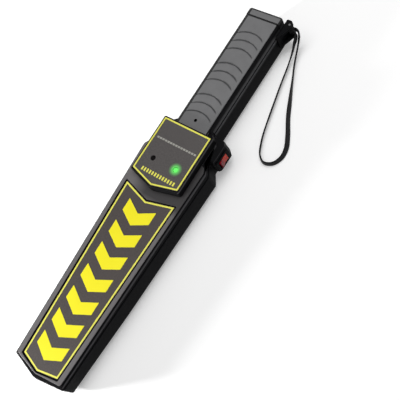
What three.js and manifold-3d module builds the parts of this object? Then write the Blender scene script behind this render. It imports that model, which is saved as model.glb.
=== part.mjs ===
// Hand-held security metal detector wand, in millimetres, +Z up.
// It lies on its back: y runs from the tip of the paddle to the butt of the handle, x across it.
import * as THREE from 'three';
import { mergeVertices } from 'three/addons/utils/BufferGeometryUtils.js';
import Module from 'manifold-3d';

const wasm = await Module();
wasm.setup();

// Values that all pieces share
const gap = 0.3;
const overrun = 4;
const wallThickness = 2.2;
const softCorner = 1;
const mergeTolerance = 1e-4;
const degree = Math.PI / 180;
const roundSides = 24;
const smallSides = 12;
const tinySides = 6;
const cornerSteps = 4;

// Housing, seen from the front: lengths that follow one another from the tip to the butt
const housing = {
  paddleLength: 202.8,
  tipDepth: 7.2,
  tipHalfWidth: 33,
  shoulderHalfWidth: 40.2,
  shoulderSetback: 32,
  shoulderSlope: 10,
  neckHalfWidth: 33,
  neckInset: 3,
  neckSlope: 10,
  handleLength: 131,
  gripHalfWidth: 20.2,
  cornerRadius: 2.5,
};

// Housing, seen from the side: the cover's heights stand on the parting plane
const depth = {
  parting: 26.5,
  ledge: 0.8,
  tipCover: 3.1,
  paddleCover: 5.9,
  gripCover: 10.3,
  topChamfer: 1.4,
  backRadius: 8,
  backSteps: 4,
  toeRise: 4,
  toeLength: 95,
  toeChamfer: 6,
};

// Raised control block with its V end toward the tip
const block = {
  halfWidth: 30.4,
  vDepth: 7.6,
  length: 69.2,
  height: 15.1,
  chamfer: 1.1,
  cornerRadius: 2,
};

// Grey frame round the paddle label, and the two printed labels
const bezel = {
  thickness: 1.2,
  border: 6.4,
  tipMargin: 4.4,
  shoulderOverlap: 5,
  cornerRadius: 2,
  shellMargin: 1,
  labelMargin: 1.2,
};
const paddleLabel = {
  thickness: 0.5,
  sideMargin: 9.8,
  tipMargin: 6.9,
  vDepth: 6,
  notchClearance: 11.9,
  notchDepth: 8.2,
};
const controlLabel = {
  thickness: 0.5,
  recess: 0.4,
  sideMargin: 2.1,
  apexMargin: 2.2,
  shoulderMargin: 1.8,
  endMargin: 1.5,
};

// Grey skin on the front of the handle, with groups of curved grooves
const gripSkin = {
  thickness: 1.2,
  edge: 1.4,
  doorMargin: 0.5,
  grooveWidth: 1.1,
  grooveDepth: 0.6,
  grooveRadius: 26,
  grooveMargin: 2.6,
  grooveSteps: 4,
  firstSetback: 13.3,
  lastMargin: 22.2,
  groovePitch: 9.8,
  groupCount: 3,
  groovesPerGroup: 3,
};

// Battery door at the butt, and the 9 volt block behind it
const door = {
  length: 8.1,
  plugLength: 5,
  plugWall: 1.6,
  thumbGrooves: 4,
  thumbGroovePitch: 3,
  thumbGrooveWidth: 1.2,
  thumbGrooveDepth: 0.7,
};
const battery = {
  halfWidth: 13.25,
  thickness: 17.5,
  length: 48.5,
  doorMargin: 7.4,
  bottom: 8,
  edge: 2,
  studSpacing: 12.7,
  smallStudRadius: 2.9,
  largeStudRadius: 3.9,
  studLength: 3,
  railWidth: 3,
};
const contact = {
  plateThickness: 1.6,
  plateHalfWidth: 13,
  plateHeight: 18,
  leafWidth: 5,
  leafThickness: 0.5,
  leafBow: 2.4,
  leafHalfHeight: 5,
};

// Electronics: the board lies under the control block, its tongue reaches into the handle
const board = {
  thickness: 1.6,
  bottom: 18,
  startSetback: 4.2,
  shoulderSetback: 8,
  tongueReach: 9,
  sideMargin: 1,
  tongueMargin: 5,
  postRadius: 3,
  postInset: 4.5,
  screwRadius: 1.2,
  screwHeadRadius: 2.3,
  screwHeadHeight: 1.4,
};
const chips = {
  processorSize: 12,
  processorHeight: 1.8,
  processorX: -6,
  processorSetback: 18,
  amplifierWidth: 5,
  amplifierLength: 9,
  amplifierHeight: 1.6,
  amplifierX: 10,
  amplifierSetback: 17,
  capacitorRadius: 3.2,
  capacitorHeight: 9,
  capacitorX: 5.5,
  capacitorSetback: 9,
};
const led = {
  offsetX: 14,
  apexSetback: 26.2,
  radius: 2.5,
  flangeRadius: 2.9,
  flangeHeight: 1,
  proud: 0.9,
  legSpacing: 2.54,
  legRadius: 0.3,
  domeSteps: 3,
};
const trimmer = {
  blockSetback: 9,
  size: 9,
  height: 4,
  rotorRadius: 3,
  rotorHeight: 2.2,
  slotWidth: 0.8,
  slotDepth: 0.9,
  accessRadius: 1.7,
};

// Power switch in a boss on the right side
const boss = {
  blockSetback: 20,
  length: 25,
  reach: 38.8,
  below: 17,
  above: 5.5,
  edge: 4.5,
};
const rocker = {
  bossSetback: 10,
  below: 6.5,
  halfLength: 5.8,
  halfHeight: 4.7,
  bezelWidth: 1.6,
  bezelProud: 0.9,
  housingDepth: 12,
  housingWall: 0.9,
  pivotInset: 3,
  pivotRadius: 0.9,
  pivotClearance: 0.05,
  crest: 1.1,
  bodyDepth: 5,
  tilt: 9,
  terminalLength: 3.5,
  terminalWidth: 2.8,
  terminalThickness: 0.6,
  terminalLift: 0.9,
  terminalSpacing: 7,
};

// Loudspeaker behind a grille in the back
const speaker = {
  apexSetback: 23.2,
  radius: 16,
  height: 4.5,
  rim: 2,
  backThickness: 1,
  coneDepth: 2.4,
  coneThickness: 0.6,
  magnetRadius: 8,
  magnetHeight: 4,
  seatHeight: 1.6,
  seatWall: 1.4,
  grilleHoleRadius: 1,
  grillePitch: 4.6,
  grilleRings: 2,
};

// Vibration motor in the handle, halfway between the board and the battery contacts
const motor = {
  length: 18,
  radius: 6,
  axisZ: 13,
  shaftRadius: 1,
  shaftLength: 6,
  weightInset: 0.8,
  weightThickness: 4,
  cradleWidth: 4,
};

// Search coil, a flat racetrack winding on a channel former
const coil = {
  tipMargin: 20,
  blockMargin: 16.8,
  sideMargin: 4.8,
  cornerInset: 2,
  cornerSteps: 5,
  windingWidth: 4,
  windingHeight: 5,
  web: 1.4,
  flange: 1.2,
  bottom: 12,
  postRadius: 3,
  postShare: 0.2,
};

// Leads, two side by side on each run
const leads = {
  radius: 0.7,
  steps: 10,
  clearance: 2,
  rise: 3,
  bend: 6,
  landing: 8,
  overMotor: 4,
  speakerRun: 24,
  speakerX: -4,
  batteryX: -7,
};
const screws = {
  headRadius: 3,
  headHeight: 2,
  shankRadius: 1.4,
  counterbore: 3,
  postRadius: 4.2,
  grip: 6,
  recessRadius: 1.2,
  recessDepth: 1,
  sideMargin: 12,
  tipMargin: 17,
  shoulderSetback: 2.8,
  handleSetback: 7.8,
};

// Wrist strap, with its lug and pin at the rear right corner
const lug = {
  rootLength: 10.9,
  overhang: 4,
  bottom: 14,
  height: 17,
  earThickness: 3,
  earMargin: 1.7,
  base: 2.2,
  pinSetback: 4.6,
  pinRadius: 1.2,
};
const strap = {
  width: 5.5,
  thickness: 1.5,
  steps: 48,
  knotWall: 1.3,
};

// The strap's route, each point measured from the pin in x and y and from the floor in z
const strapRoute = [
  [3.8, 1.5, 22.5], [5.2, 1.5, 22.4], [7, 0.9, 21], [8.3, -1, 17.8], [9, -4.6, 13.4], [10, -10.4, 8.9],
  [11.6, -17.6, 5.5], [14.6, -26.4, 3.6], [20, -38, 3], [28.9, -56.7, 3], [38.6, -76.8, 3], [48.7, -94, 3],
  [54.4, -106.2, 3], [55.1, -116.6, 3], [50.5, -125, 3], [42.2, -127.8, 3], [34.5, -122.5, 3],
  [28.8, -111.1, 3], [24.5, -98.4, 3], [20.3, -81.6, 3], [16, -63.6, 3], [12.4, -48, 3.1], [9.4, -32, 3.9],
  [7.8, -22, 5.7], [6.8, -14.6, 8.6], [6.3, -9, 12.6], [6.6, -5.2, 17], [6.3, -2.7, 20.8], [5.1, -1.5, 22.4],
  [3.8, -1.5, 22.5],
];

// How far the strap's width leans off upright, in degrees, at shares of its length
const strapLeanShares = [
  [0, 0], [0.06, -18], [0.16, -10], [0.3, 26], [0.4, 34], [0.5, 6], [0.58, 14], [0.7, 26], [0.88, 24], [1, 0],
];

// Stations along the wand, from the tip
const blockStart = housing.paddleLength;
const blockShoulder = blockStart + block.vDepth;
const blockEnd = blockStart + block.length;
const shoulderY = blockEnd - housing.shoulderSetback;
const neckStart = shoulderY + housing.shoulderSlope;
const neckEnd = blockEnd - housing.neckInset;
const gripStart = neckEnd + housing.neckSlope;
const buttY = gripStart + housing.handleLength;
const doorStart = buttY - door.length;
const shellEnd = doorStart - gap;

// Heights and half widths of the cover
const coverBottom = depth.parting + gap;
const tipTop = depth.parting + depth.tipCover;
const paddleTop = depth.parting + depth.paddleCover;
const gripTop = depth.parting + depth.gripCover;
const blockTop = depth.parting + block.height;
const coverHalf = housing.gripHalfWidth - depth.ledge;
const innerHalf = housing.gripHalfWidth - wallThickness;

// Labels and grip skin
const labelShoulderY = paddleLabel.tipMargin + paddleLabel.vDepth;
const labelNotchY = blockStart - paddleLabel.notchClearance;
const labelEndY = labelNotchY + paddleLabel.notchDepth;
const labelTipHalf = housing.tipHalfWidth - paddleLabel.sideMargin;
const labelEndHalf = housing.shoulderHalfWidth - paddleLabel.sideMargin;
const labelSeat = blockTop - controlLabel.recess;
const skinHalf = coverHalf - gripSkin.edge;
const skinEnd = doorStart - gripSkin.doorMargin;
const skinBottom = gripTop - gripSkin.thickness / 2 + gap;
const skinTop = skinBottom + gripSkin.thickness;
const paddleSlope = (paddleTop - tipTop) / (labelEndY - housing.tipDepth);

// Battery and its contacts
const batteryStart = doorStart - battery.doorMargin - battery.length;
const batteryMiddle = battery.bottom + battery.thickness / 2;
const contactReach = battery.studLength + contact.leafBow + 2 * contact.leafThickness;
const contactPlateY = batteryStart - contactReach - contact.plateThickness / 2;

// Electronics, motor and coil
const boardStart = blockStart + board.startSetback;
const boardShoulder = blockEnd - board.shoulderSetback;
const boardHalf = boss.reach - rocker.housingDepth - gap - rocker.terminalLength - board.sideMargin;
const tongueHalf = innerHalf - board.tongueMargin;
const boardTop = board.bottom + board.thickness;
const trimmerY = blockEnd + trimmer.blockSetback;
const boardEnd = trimmerY + board.tongueReach;
const ledY = blockStart + led.apexSetback;
const speakerY = blockStart + speaker.apexSetback;
const speakerBottom = wallThickness + speaker.seatHeight + gap;
const motorStart = (boardEnd + contactPlateY - motor.length - motor.shaftLength) / 2;
const motorEnd = motorStart + motor.length;
const coilEnd = blockStart - coil.blockMargin;
const coilHalf = housing.tipHalfWidth - wallThickness - coil.sideMargin;
const leadZ = boardTop + gap + leads.radius;

// Power switch
const bossStart = blockEnd - boss.blockSetback;
const bossEnd = bossStart + boss.length;
const bossBottom = depth.parting - boss.below;
const bossTop = depth.parting + boss.above;
const rockerY = bossStart + rocker.bossSetback;
const rockerZ = depth.parting - rocker.below;
const switchFace = boss.reach + gap;
const pivotX = switchFace + rocker.bezelProud - rocker.pivotInset;
const caseHalfLength = rocker.halfLength + rocker.housingWall + gap;
const caseHalfHeight = rocker.halfHeight + rocker.housingWall + gap;

// Strap lug
const lugWall = housing.gripHalfWidth + gap;
const lugStart = doorStart - lug.rootLength;
const lugEnd = buttY + lug.overhang;
const lugTop = lug.bottom + lug.height;
const lugMiddle = lug.bottom + lug.height / 2;
const eyeRadius = lug.pinRadius + gap + strap.knotWall;
const pinX = lugWall + lug.base + gap + eyeRadius;
const pinY = lugEnd - lug.pinSetback;
const lugReach = pinX + lug.pinRadius + gap + lug.earMargin;

// Materials
const blackPlastic = () => finish(0x1b1b1c, 0.55);
const greyPlastic = () => finish(0x6d6d6e, 0.6);
const labelFilm = () => finish(0x4c4748, 0.5);
const brightMetal = () => finish(0xa9abad, 0.35, 1);
const darkMetal = () => finish(0x3a3b3d, 0.4, 1);
const springMetal = () => finish(0xc9b27a, 0.35, 1);
const studMetal = () => finish(0xc8c9cc, 0.3, 1);

function finish(color, roughness, metalness = 0) {
  return new THREE.MeshStandardMaterial({ color, roughness, metalness });
}

// Solids and booleans

function solid(geometry) {
  const plain = new THREE.BufferGeometry();
  plain.setAttribute('position', geometry.getAttribute('position').clone());
  if (geometry.index) {
    plain.setIndex(geometry.index.clone());
  }
  const merged = mergeVertices(plain, mergeTolerance);
  const mesh = new wasm.Mesh({
    numProp: 3,
    vertProperties: new Float32Array(merged.getAttribute('position').array),
    triVerts: new Uint32Array(merged.index.array),
  });
  return new wasm.Manifold(mesh);
}

function geometryOf(manifold) {
  const mesh = manifold.getMesh();
  const geometry = new THREE.BufferGeometry();
  geometry.setAttribute('position', new THREE.BufferAttribute(mesh.vertProperties, 3));
  geometry.setIndex(new THREE.BufferAttribute(mesh.triVerts, 1));
  geometry.computeVertexNormals();
  return geometry;
}

function join(...solids) {
  return solids.reduce((sum, next) => sum.add(next));
}

function cut(body, ...tools) {
  return tools.reduce((rest, tool) => rest.subtract(tool), body);
}

function placed(geometry, x, y, z) {
  geometry.translate(x, y, z);
  return geometry;
}

function boxBetween(x0, x1, y0, y1, z0, z1) {
  const geometry = new THREE.BoxGeometry(x1 - x0, y1 - y0, z1 - z0);
  return solid(placed(geometry, (x0 + x1) / 2, (y0 + y1) / 2, (z0 + z1) / 2));
}

function standingCylinder(radius, x, y, z0, z1, sides = roundSides) {
  const geometry = new THREE.CylinderGeometry(radius, radius, z1 - z0, sides);
  geometry.rotateX(Math.PI / 2);
  return solid(placed(geometry, x, y, (z0 + z1) / 2));
}

function lengthwiseCylinder(radius, x, z, y0, y1, sides = roundSides) {
  const geometry = new THREE.CylinderGeometry(radius, radius, y1 - y0, sides);
  return solid(placed(geometry, x, (y0 + y1) / 2, z));
}

function outline(points, radius = 0) {
  const shape = new THREE.Shape();
  const count = points.length;
  points.forEach((point, i) => {
    const corner = new THREE.Vector2(...point);
    const before = new THREE.Vector2(...points[(i + count - 1) % count]).sub(corner);
    const after = new THREE.Vector2(...points[(i + 1) % count]).sub(corner);
    const reach = Math.min(radius, before.length() / 2, after.length() / 2);
    const start = corner.clone().add(before.setLength(reach));
    const end = corner.clone().add(after.setLength(reach));
    if (i === 0) {
      shape.moveTo(start.x, start.y);
    } else {
      shape.lineTo(start.x, start.y);
    }
    if (reach > 0) {
      shape.quadraticCurveTo(corner.x, corner.y, end.x, end.y);
    }
  });
  shape.closePath();
  return shape;
}

// Points on one side of the symmetry axis, followed by their mirror images
function mirrored(points) {
  return [...points, ...points.map(([x, y]) => [-x, y]).reverse()];
}

// A flat plate whose outline is given in x and y
function plate(shape, z0, z1, curveSegments = cornerSteps) {
  const geometry = new THREE.ExtrudeGeometry(shape, { depth: z1 - z0, bevelEnabled: false, curveSegments });
  return solid(placed(geometry, 0, 0, z0));
}

// A plate whose edges are chamfered above and below, within its outline
function softPlate(shape, z0, z1, edge) {
  const geometry = new THREE.ExtrudeGeometry(shape, {
    depth: z1 - z0 - 2 * edge,
    bevelThickness: edge,
    bevelSize: edge,
    bevelOffset: -edge,
    bevelSegments: 1,
    curveSegments: cornerSteps,
  });
  return solid(placed(geometry, 0, 0, z0 + edge));
}

// A plate whose outline is given in y and z, running from x0 to x1
function sidePlate(shape, x0, x1) {
  const geometry = new THREE.ExtrudeGeometry(shape, {
    depth: x1 - x0, bevelEnabled: false, curveSegments: cornerSteps,
  });
  geometry.applyMatrix4(new THREE.Matrix4().makeBasis(
    new THREE.Vector3(0, 1, 0), new THREE.Vector3(0, 0, 1), new THREE.Vector3(1, 0, 0)));
  return solid(placed(geometry, x0, 0, 0));
}

// Joins convex cross sections of equal point count, each at its own y, into one closed body
function loftAlongY(sections) {
  const count = sections[0].profile.length;
  const positions = sections.flatMap(({ y, profile }) => profile.flatMap(([x, z]) => [x, y, z]));
  const index = [];
  for (let s = 0; s < sections.length - 1; s += 1) {
    for (let i = 0; i < count; i += 1) {
      const a = s * count + i;
      const b = s * count + ((i + 1) % count);
      index.push(a, a + count, b, b, a + count, b + count);
    }
  }
  const last = (sections.length - 1) * count;
  for (let i = 1; i < count - 1; i += 1) {
    index.push(0, i, i + 1);
    index.push(last, last + i + 1, last + i);
  }
  const geometry = new THREE.BufferGeometry();
  geometry.setAttribute('position', new THREE.Float32BufferAttribute(positions, 3));
  geometry.setIndex(index);
  return solid(geometry);
}

// Cross section open at the top, with rounded back corners
function trayProfile(halfWidth, bottom, top, radius) {
  const points = [];
  for (let i = 0; i <= depth.backSteps; i += 1) {
    const angle = Math.PI + (i / depth.backSteps) * (Math.PI / 2);
    points.push([
      -halfWidth + radius + radius * Math.cos(angle),
      bottom + radius + radius * Math.sin(angle),
    ]);
  }
  const otherSide = points.map(([x, z]) => [-x, z]).reverse();
  return [[-halfWidth, top], ...points, ...otherSide, [halfWidth, top]];
}

// Cross section of a cover, with chamfered top edges
function coverProfile(halfWidth, bottom, top, chamfer) {
  return [
    [-halfWidth, bottom], [halfWidth, bottom], [halfWidth, top - chamfer],
    [halfWidth - chamfer, top], [-halfWidth + chamfer, top], [-halfWidth, top - chamfer],
  ];
}

// The housing's sides and faces along y

function paddleTopAt(y) {
  return tipTop + (y - housing.tipDepth) * paddleSlope;
}

function backAt(y) {
  return Math.max(0, (1 - y / depth.toeLength) * depth.toeRise);
}

function paddleHalfAt(y) {
  const share = (y - housing.tipDepth) / (shoulderY - housing.tipDepth);
  return housing.tipHalfWidth + share * (housing.shoulderHalfWidth - housing.tipHalfWidth);
}

const paddleStations = [
  { y: -overrun, halfWidth: housing.tipHalfWidth },
  { y: housing.tipDepth, halfWidth: housing.tipHalfWidth },
  { y: depth.toeLength, halfWidth: paddleHalfAt(depth.toeLength) },
  { y: shoulderY, halfWidth: housing.shoulderHalfWidth },
];
const neckStations = [
  { y: neckStart, halfWidth: housing.neckHalfWidth },
  { y: neckEnd, halfWidth: housing.neckHalfWidth },
  { y: gripStart, halfWidth: housing.gripHalfWidth },
];
const gripStation = { y: shellEnd, halfWidth: housing.gripHalfWidth };

// The front view outline, moved inward by inset on every side
function planOutline(inset, radius) {
  return outline(mirrored([
    [0, inset],
    [housing.tipHalfWidth - inset, housing.tipDepth + inset],
    [housing.shoulderHalfWidth - inset, shoulderY - inset / 2],
    [housing.neckHalfWidth - inset, neckStart - inset / 2],
    [housing.neckHalfWidth - inset, neckEnd - inset / 2],
    [housing.gripHalfWidth - inset, gripStart - inset / 2],
    [housing.gripHalfWidth - inset, shellEnd + overrun],
  ]).slice(0, -1), radius);
}

function blockOutline(inset) {
  const half = block.halfWidth - inset;
  return [
    [0, blockStart + inset], [half, blockShoulder + inset], [half, blockEnd - inset],
    [-half, blockEnd - inset], [-half, blockShoulder + inset],
  ];
}

// Places of the screws and posts

const screwPlaces = [
  [housing.tipHalfWidth - screws.sideMargin, screws.tipMargin],
  [housing.shoulderHalfWidth - screws.sideMargin, blockStart - screws.shoulderSetback],
  [motor.radius + gap + screws.postRadius, contactPlateY - screws.handleSetback],
].flatMap(([x, y]) => [[-x, y], [x, y]]);

function boardPosts() {
  const x = boardHalf - board.postInset;
  const low = boardStart + board.postInset;
  const high = boardShoulder - board.postInset;
  return [[-x, low], [x, low], [-x, high], [x, high]];
}

function coilPosts() {
  const x = coilHalf - coil.windingWidth / 2;
  const middle = (coil.tipMargin + coilEnd) / 2;
  const spread = (coilEnd - coil.tipMargin) * coil.postShare;
  return [[-x, middle - spread], [x, middle - spread], [-x, middle + spread], [x, middle + spread]];
}

// Switch boss and strap lug

function bossSolid(inset) {
  const reach = boss.reach - inset;
  const section = outline([
    [bossStart + inset, bossBottom + inset], [bossEnd - inset, bossBottom + inset],
    [bossEnd - inset, bossTop - inset], [bossStart + inset, bossTop - inset],
  ], boss.edge);
  const plan = outline([
    [innerHalf, bossStart - overrun], [reach - boss.edge / 2, bossStart - overrun],
    [reach, bossStart + boss.edge], [reach, bossEnd - boss.edge - inset],
    [reach - boss.edge - inset, bossEnd - inset], [innerHalf, bossEnd - inset],
  ], softCorner);
  return sidePlate(section, innerHalf, reach).intersect(plate(plan, bossBottom, bossTop));
}

function bossBetween(inset, z0, z1) {
  return bossSolid(inset).intersect(boxBetween(
    0, boss.reach + overrun, bossStart - overrun, bossEnd + overrun, z0, z1));
}

function switchHole() {
  const length = caseHalfLength + gap;
  const height = caseHalfHeight + gap;
  return boxBetween(
    boss.reach - rocker.housingDepth - overrun, boss.reach + overrun,
    rockerY - length, rockerY + length, rockerZ - height, rockerZ + height);
}

function lugSolid() {
  const ear = outline([
    [lugWall, lugStart], [lugWall + lug.base, lugStart], [lugReach, pinY - lug.earThickness],
    [lugReach, lugEnd - lug.earThickness], [lugReach - lug.earThickness, lugEnd], [lugWall, lugEnd],
  ], lug.earThickness / 2);
  const ears = softPlate(ear, lug.bottom, lugTop, gap);
  const slot = boxBetween(
    lugWall + lug.base, lugReach + overrun, lugStart - overrun, lugEnd + overrun,
    lug.bottom + lug.earThickness, lugTop - lug.earThickness);
  const pinHole = standingCylinder(
    lug.pinRadius + gap, pinX, pinY, lug.bottom - overrun, lugTop + overrun, smallSides);
  return cut(ears, slot, pinHole);
}

// Back shell

function backEnvelope() {
  const body = loftAlongY([...paddleStations, ...neckStations, gripStation].map(({ y, halfWidth }) => ({
    y,
    profile: trayProfile(halfWidth, backAt(y), depth.parting, depth.backRadius),
  })));
  const plan = plate(planOutline(0, housing.cornerRadius), -overrun, depth.parting + overrun);
  const toe = new THREE.BoxGeometry(buttY, depth.toeChamfer * 2, depth.toeChamfer * 2);
  toe.rotateX(Math.PI / 4);
  return cut(
    join(body.intersect(plan), bossBetween(0, 0, depth.parting)),
    solid(placed(toe, 0, housing.tipDepth / 2 - depth.toeChamfer, backAt(0) - depth.toeChamfer / 2)));
}

function backHollow() {
  const stations = [...paddleStations, ...neckStations, { ...gripStation, y: gripStation.y + overrun }];
  const body = loftAlongY(stations.map(({ y, halfWidth }) => ({
    y,
    profile: trayProfile(
      halfWidth - wallThickness, backAt(y) + wallThickness, depth.parting + overrun,
      depth.backRadius - wallThickness),
  })));
  const plan = plate(planOutline(wallThickness, softCorner), -overrun, depth.parting + overrun * 2);
  return join(body.intersect(plan), bossBetween(wallThickness, 0, depth.parting + overrun));
}

function backPosts() {
  const foot = (y) => backAt(y) + gap;
  return [
    ...coilPosts().map(([x, y]) => standingCylinder(
      coil.postRadius, x, y, foot(y), coil.bottom - gap, smallSides)),
    ...boardPosts().map(([x, y]) => standingCylinder(
      board.postRadius, x, y, foot(y), board.bottom - gap, smallSides)),
    ...screwPlaces.map(([x, y]) => standingCylinder(
      screws.postRadius, x, y, foot(y), depth.parting, smallSides)),
  ];
}

function backHoles() {
  return [
    ...boardPosts().map(([x, y]) => standingCylinder(
      board.screwRadius + gap, x, y, board.bottom - overrun * 2, board.bottom + overrun, smallSides)),
    ...screwPlaces.flatMap(([x, y]) => [
      standingCylinder(screws.shankRadius + gap, x, y, -overrun, depth.parting + overrun, smallSides),
      standingCylinder(
        screws.headRadius + gap, x, y, -overrun, backAt(y) + screws.counterbore + screws.headHeight,
        smallSides),
    ]),
  ];
}

function speakerSeat() {
  const floor = wallThickness + speaker.seatHeight;
  const ring = standingCylinder(
    speaker.radius + gap + speaker.seatWall, 0, speakerY, gap, floor + speaker.height);
  return cut(
    ring,
    standingCylinder(speaker.radius + gap, 0, speakerY, floor, depth.parting),
    standingCylinder(speaker.radius - speaker.rim, 0, speakerY, wallThickness, depth.parting));
}

function grilleHoles() {
  const holes = [];
  for (let ring = 0; ring <= speaker.grilleRings; ring += 1) {
    const count = Math.max(1, ring * tinySides);
    for (let i = 0; i < count; i += 1) {
      const angle = (i / count) * 2 * Math.PI;
      const radius = ring * speaker.grillePitch;
      holes.push(standingCylinder(
        speaker.grilleHoleRadius, radius * Math.cos(angle), speakerY + radius * Math.sin(angle),
        -overrun, wallThickness + gap, tinySides));
    }
  }
  return holes;
}

function batteryRail(side) {
  const x = side * (battery.halfWidth - battery.railWidth);
  return boxBetween(
    x - battery.railWidth / 2, x + battery.railWidth / 2,
    batteryStart, batteryStart + battery.length - overrun, gap, battery.bottom - gap);
}

function motorCradle(side) {
  const y = motorStart + motor.length / 2 + side * (motor.length / 2 - motor.cradleWidth);
  const cradle = boxBetween(
    -motor.radius - wallThickness, motor.radius + wallThickness,
    y - motor.cradleWidth / 2, y + motor.cradleWidth / 2, gap, motor.axisZ);
  return cut(cradle, lengthwiseCylinder(
    motor.radius + gap, 0, motor.axisZ, motorStart - overrun, motorEnd + overrun));
}

// A low wall across the handle, with a slot for the contact plate
function contactWall() {
  const slotHalf = contact.plateThickness / 2 + gap;
  const wallHalf = slotHalf + wallThickness / 2;
  const windowHalf = contact.plateHalfWidth - wallThickness;
  return cut(
    boxBetween(
      -innerHalf - gap, innerHalf + gap, contactPlateY - wallHalf, contactPlateY + wallHalf, gap,
      battery.bottom + overrun),
    boxBetween(
      -contact.plateHalfWidth - gap, contact.plateHalfWidth + gap,
      contactPlateY - slotHalf, contactPlateY + slotHalf, battery.bottom - gap, depth.parting),
    boxBetween(
      -windowHalf, windowHalf, contactPlateY - wallHalf - gap, contactPlateY + wallHalf + gap,
      battery.bottom - gap, depth.parting));
}

function backShell() {
  const envelope = backEnvelope();
  const tray = cut(envelope, backHollow());
  const fittings = [
    speakerSeat(), contactWall(), batteryRail(-1), batteryRail(1), motorCradle(-1), motorCradle(1),
  ];
  const shell = cut(join(tray, ...backPosts(), ...fittings), ...backHoles(), ...grilleHoles(), switchHole());
  return shell.intersect(envelope);
}

// Front shell

// The cover from the tip to the start of the handle, moved inward by inset
function paddleCover(inset, bottom, drop, chamfer) {
  const section = (halfWidth, top) => coverProfile(halfWidth - inset, bottom, top - drop, chamfer);
  const neckTop = paddleTopAt(shoulderY);
  return loftAlongY([
    ...paddleStations.map(({ y, halfWidth }) => ({ y, profile: section(halfWidth, paddleTopAt(y)) })),
    ...neckStations.map(({ y, halfWidth }) => ({ y, profile: section(halfWidth, neckTop) })),
  ]);
}

function gripCover(inset, bottom, chamfer, y0, y1) {
  const profile = coverProfile(coverHalf - inset, bottom, gripTop - inset, chamfer);
  return loftAlongY([{ y: y0, profile }, { y: y1, profile }]);
}

function frontHollow() {
  const bottom = coverBottom - overrun;
  const inset = wallThickness + depth.ledge;
  const paddle = paddleCover(inset, bottom, wallThickness, gap);
  return [
    paddle.intersect(plate(planOutline(inset, softCorner), -overrun, blockTop)),
    gripCover(wallThickness, bottom, gap, blockEnd - overrun * 2, doorStart + overrun),
    plate(outline(blockOutline(wallThickness), softCorner), bottom, labelSeat - wallThickness),
    bossBetween(wallThickness, bottom, blockTop),
  ];
}

function frontShell() {
  const paddle = paddleCover(depth.ledge, coverBottom, 0, depth.topChamfer);
  const body = join(
    paddle.intersect(plate(planOutline(depth.ledge, housing.cornerRadius), -overrun, blockTop)),
    gripCover(0, coverBottom, depth.topChamfer, blockEnd - overrun, shellEnd),
    softPlate(outline(blockOutline(0), block.cornerRadius), coverBottom, blockTop, block.chamfer),
    bossBetween(0, coverBottom, blockTop));
  const posts = screwPlaces.map(([x, y]) => standingCylinder(
    screws.postRadius, x, y, coverBottom, roofAt(y) - wallThickness / 2, smallSides));
  const sockets = screwPlaces.map(([x, y]) => standingCylinder(
    screws.shankRadius + gap, x, y, coverBottom - overrun, roofAt(y) - wallThickness, smallSides));
  const lampHoles = [-1, 1].map((side) => standingCylinder(
    led.radius + gap, side * led.offsetX, ledY, coverBottom, blockTop + overrun, smallSides));
  return cut(
    join(cut(body, ...frontHollow()), ...posts), ...sockets, ...lampHoles, trimmerHole(), switchHole(),
    plate(outline(controlLabelOutline(gap), softCorner), labelSeat, blockTop + overrun),
    boxBetween(
      -skinHalf - gap, skinHalf + gap, blockEnd, doorStart,
      gripTop - gripSkin.thickness / 2, gripTop + overrun));
}

function roofAt(y) {
  return y > gripStart ? gripTop : paddleTopAt(y);
}

function trimmerHole() {
  return standingCylinder(trimmer.accessRadius, 0, trimmerY, coverBottom, blockTop, smallSides);
}

// Labels, frame and grip skin

// Tilts a flat solid onto the paddle's face
function leaned(manifold) {
  const geometry = geometryOf(manifold);
  geometry.applyMatrix4(new THREE.Matrix4().set(
    1, 0, 0, 0,
    0, 1, 0, 0,
    0, paddleSlope, 1, tipTop - paddleSlope * housing.tipDepth,
    0, 0, 0, 1));
  return solid(geometry);
}

function paddleLabelOutline(grow) {
  const tip = labelTipHalf + grow;
  const end = labelEndHalf + grow;
  return [
    [0, paddleLabel.tipMargin - grow], [tip, labelShoulderY - grow], [end, labelEndY + grow],
    [0, labelNotchY + grow], [-end, labelEndY + grow], [-tip, labelShoulderY - grow],
  ];
}

function controlLabelOutline(grow) {
  const half = block.halfWidth - controlLabel.sideMargin + grow;
  const end = blockEnd - controlLabel.endMargin + grow;
  const shoulder = blockShoulder + controlLabel.shoulderMargin - grow;
  return [
    [0, blockStart + controlLabel.apexMargin - grow], [half, shoulder], [half, end],
    [-half, end], [-half, shoulder],
  ];
}

function paddleFrame() {
  const tipHalf = labelTipHalf + bezel.border;
  const endHalf = housing.shoulderHalfWidth - depth.ledge - depth.topChamfer - bezel.shellMargin;
  const tipY = labelShoulderY - bezel.border / 2;
  const frame = outline(mirrored([
    [0, bezel.tipMargin], [tipHalf, tipY], [endHalf, shoulderY],
    [endHalf - bezel.border / 2, shoulderY + bezel.shoulderOverlap],
  ]).slice(0, -1), bezel.cornerRadius);
  return leaned(cut(
    softPlate(frame, gap, bezel.thickness + gap, gap),
    plate(outline(paddleLabelOutline(bezel.labelMargin + gap), softCorner), -overrun, overrun),
    plate(outline(blockOutline(-gap), block.cornerRadius), -overrun, overrun)));
}

function paddlePrint() {
  return leaned(plate(outline(paddleLabelOutline(0), softCorner), gap, gap + paddleLabel.thickness));
}

function controlPrint() {
  const bottom = labelSeat + gap;
  const film = plate(outline(controlLabelOutline(0), softCorner), bottom, bottom + controlLabel.thickness);
  return cut(film, ...[-1, 1].map((side) => standingCylinder(
    led.radius + gap, side * led.offsetX, ledY, bottom - overrun, bottom + overrun, smallSides)));
}

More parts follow.
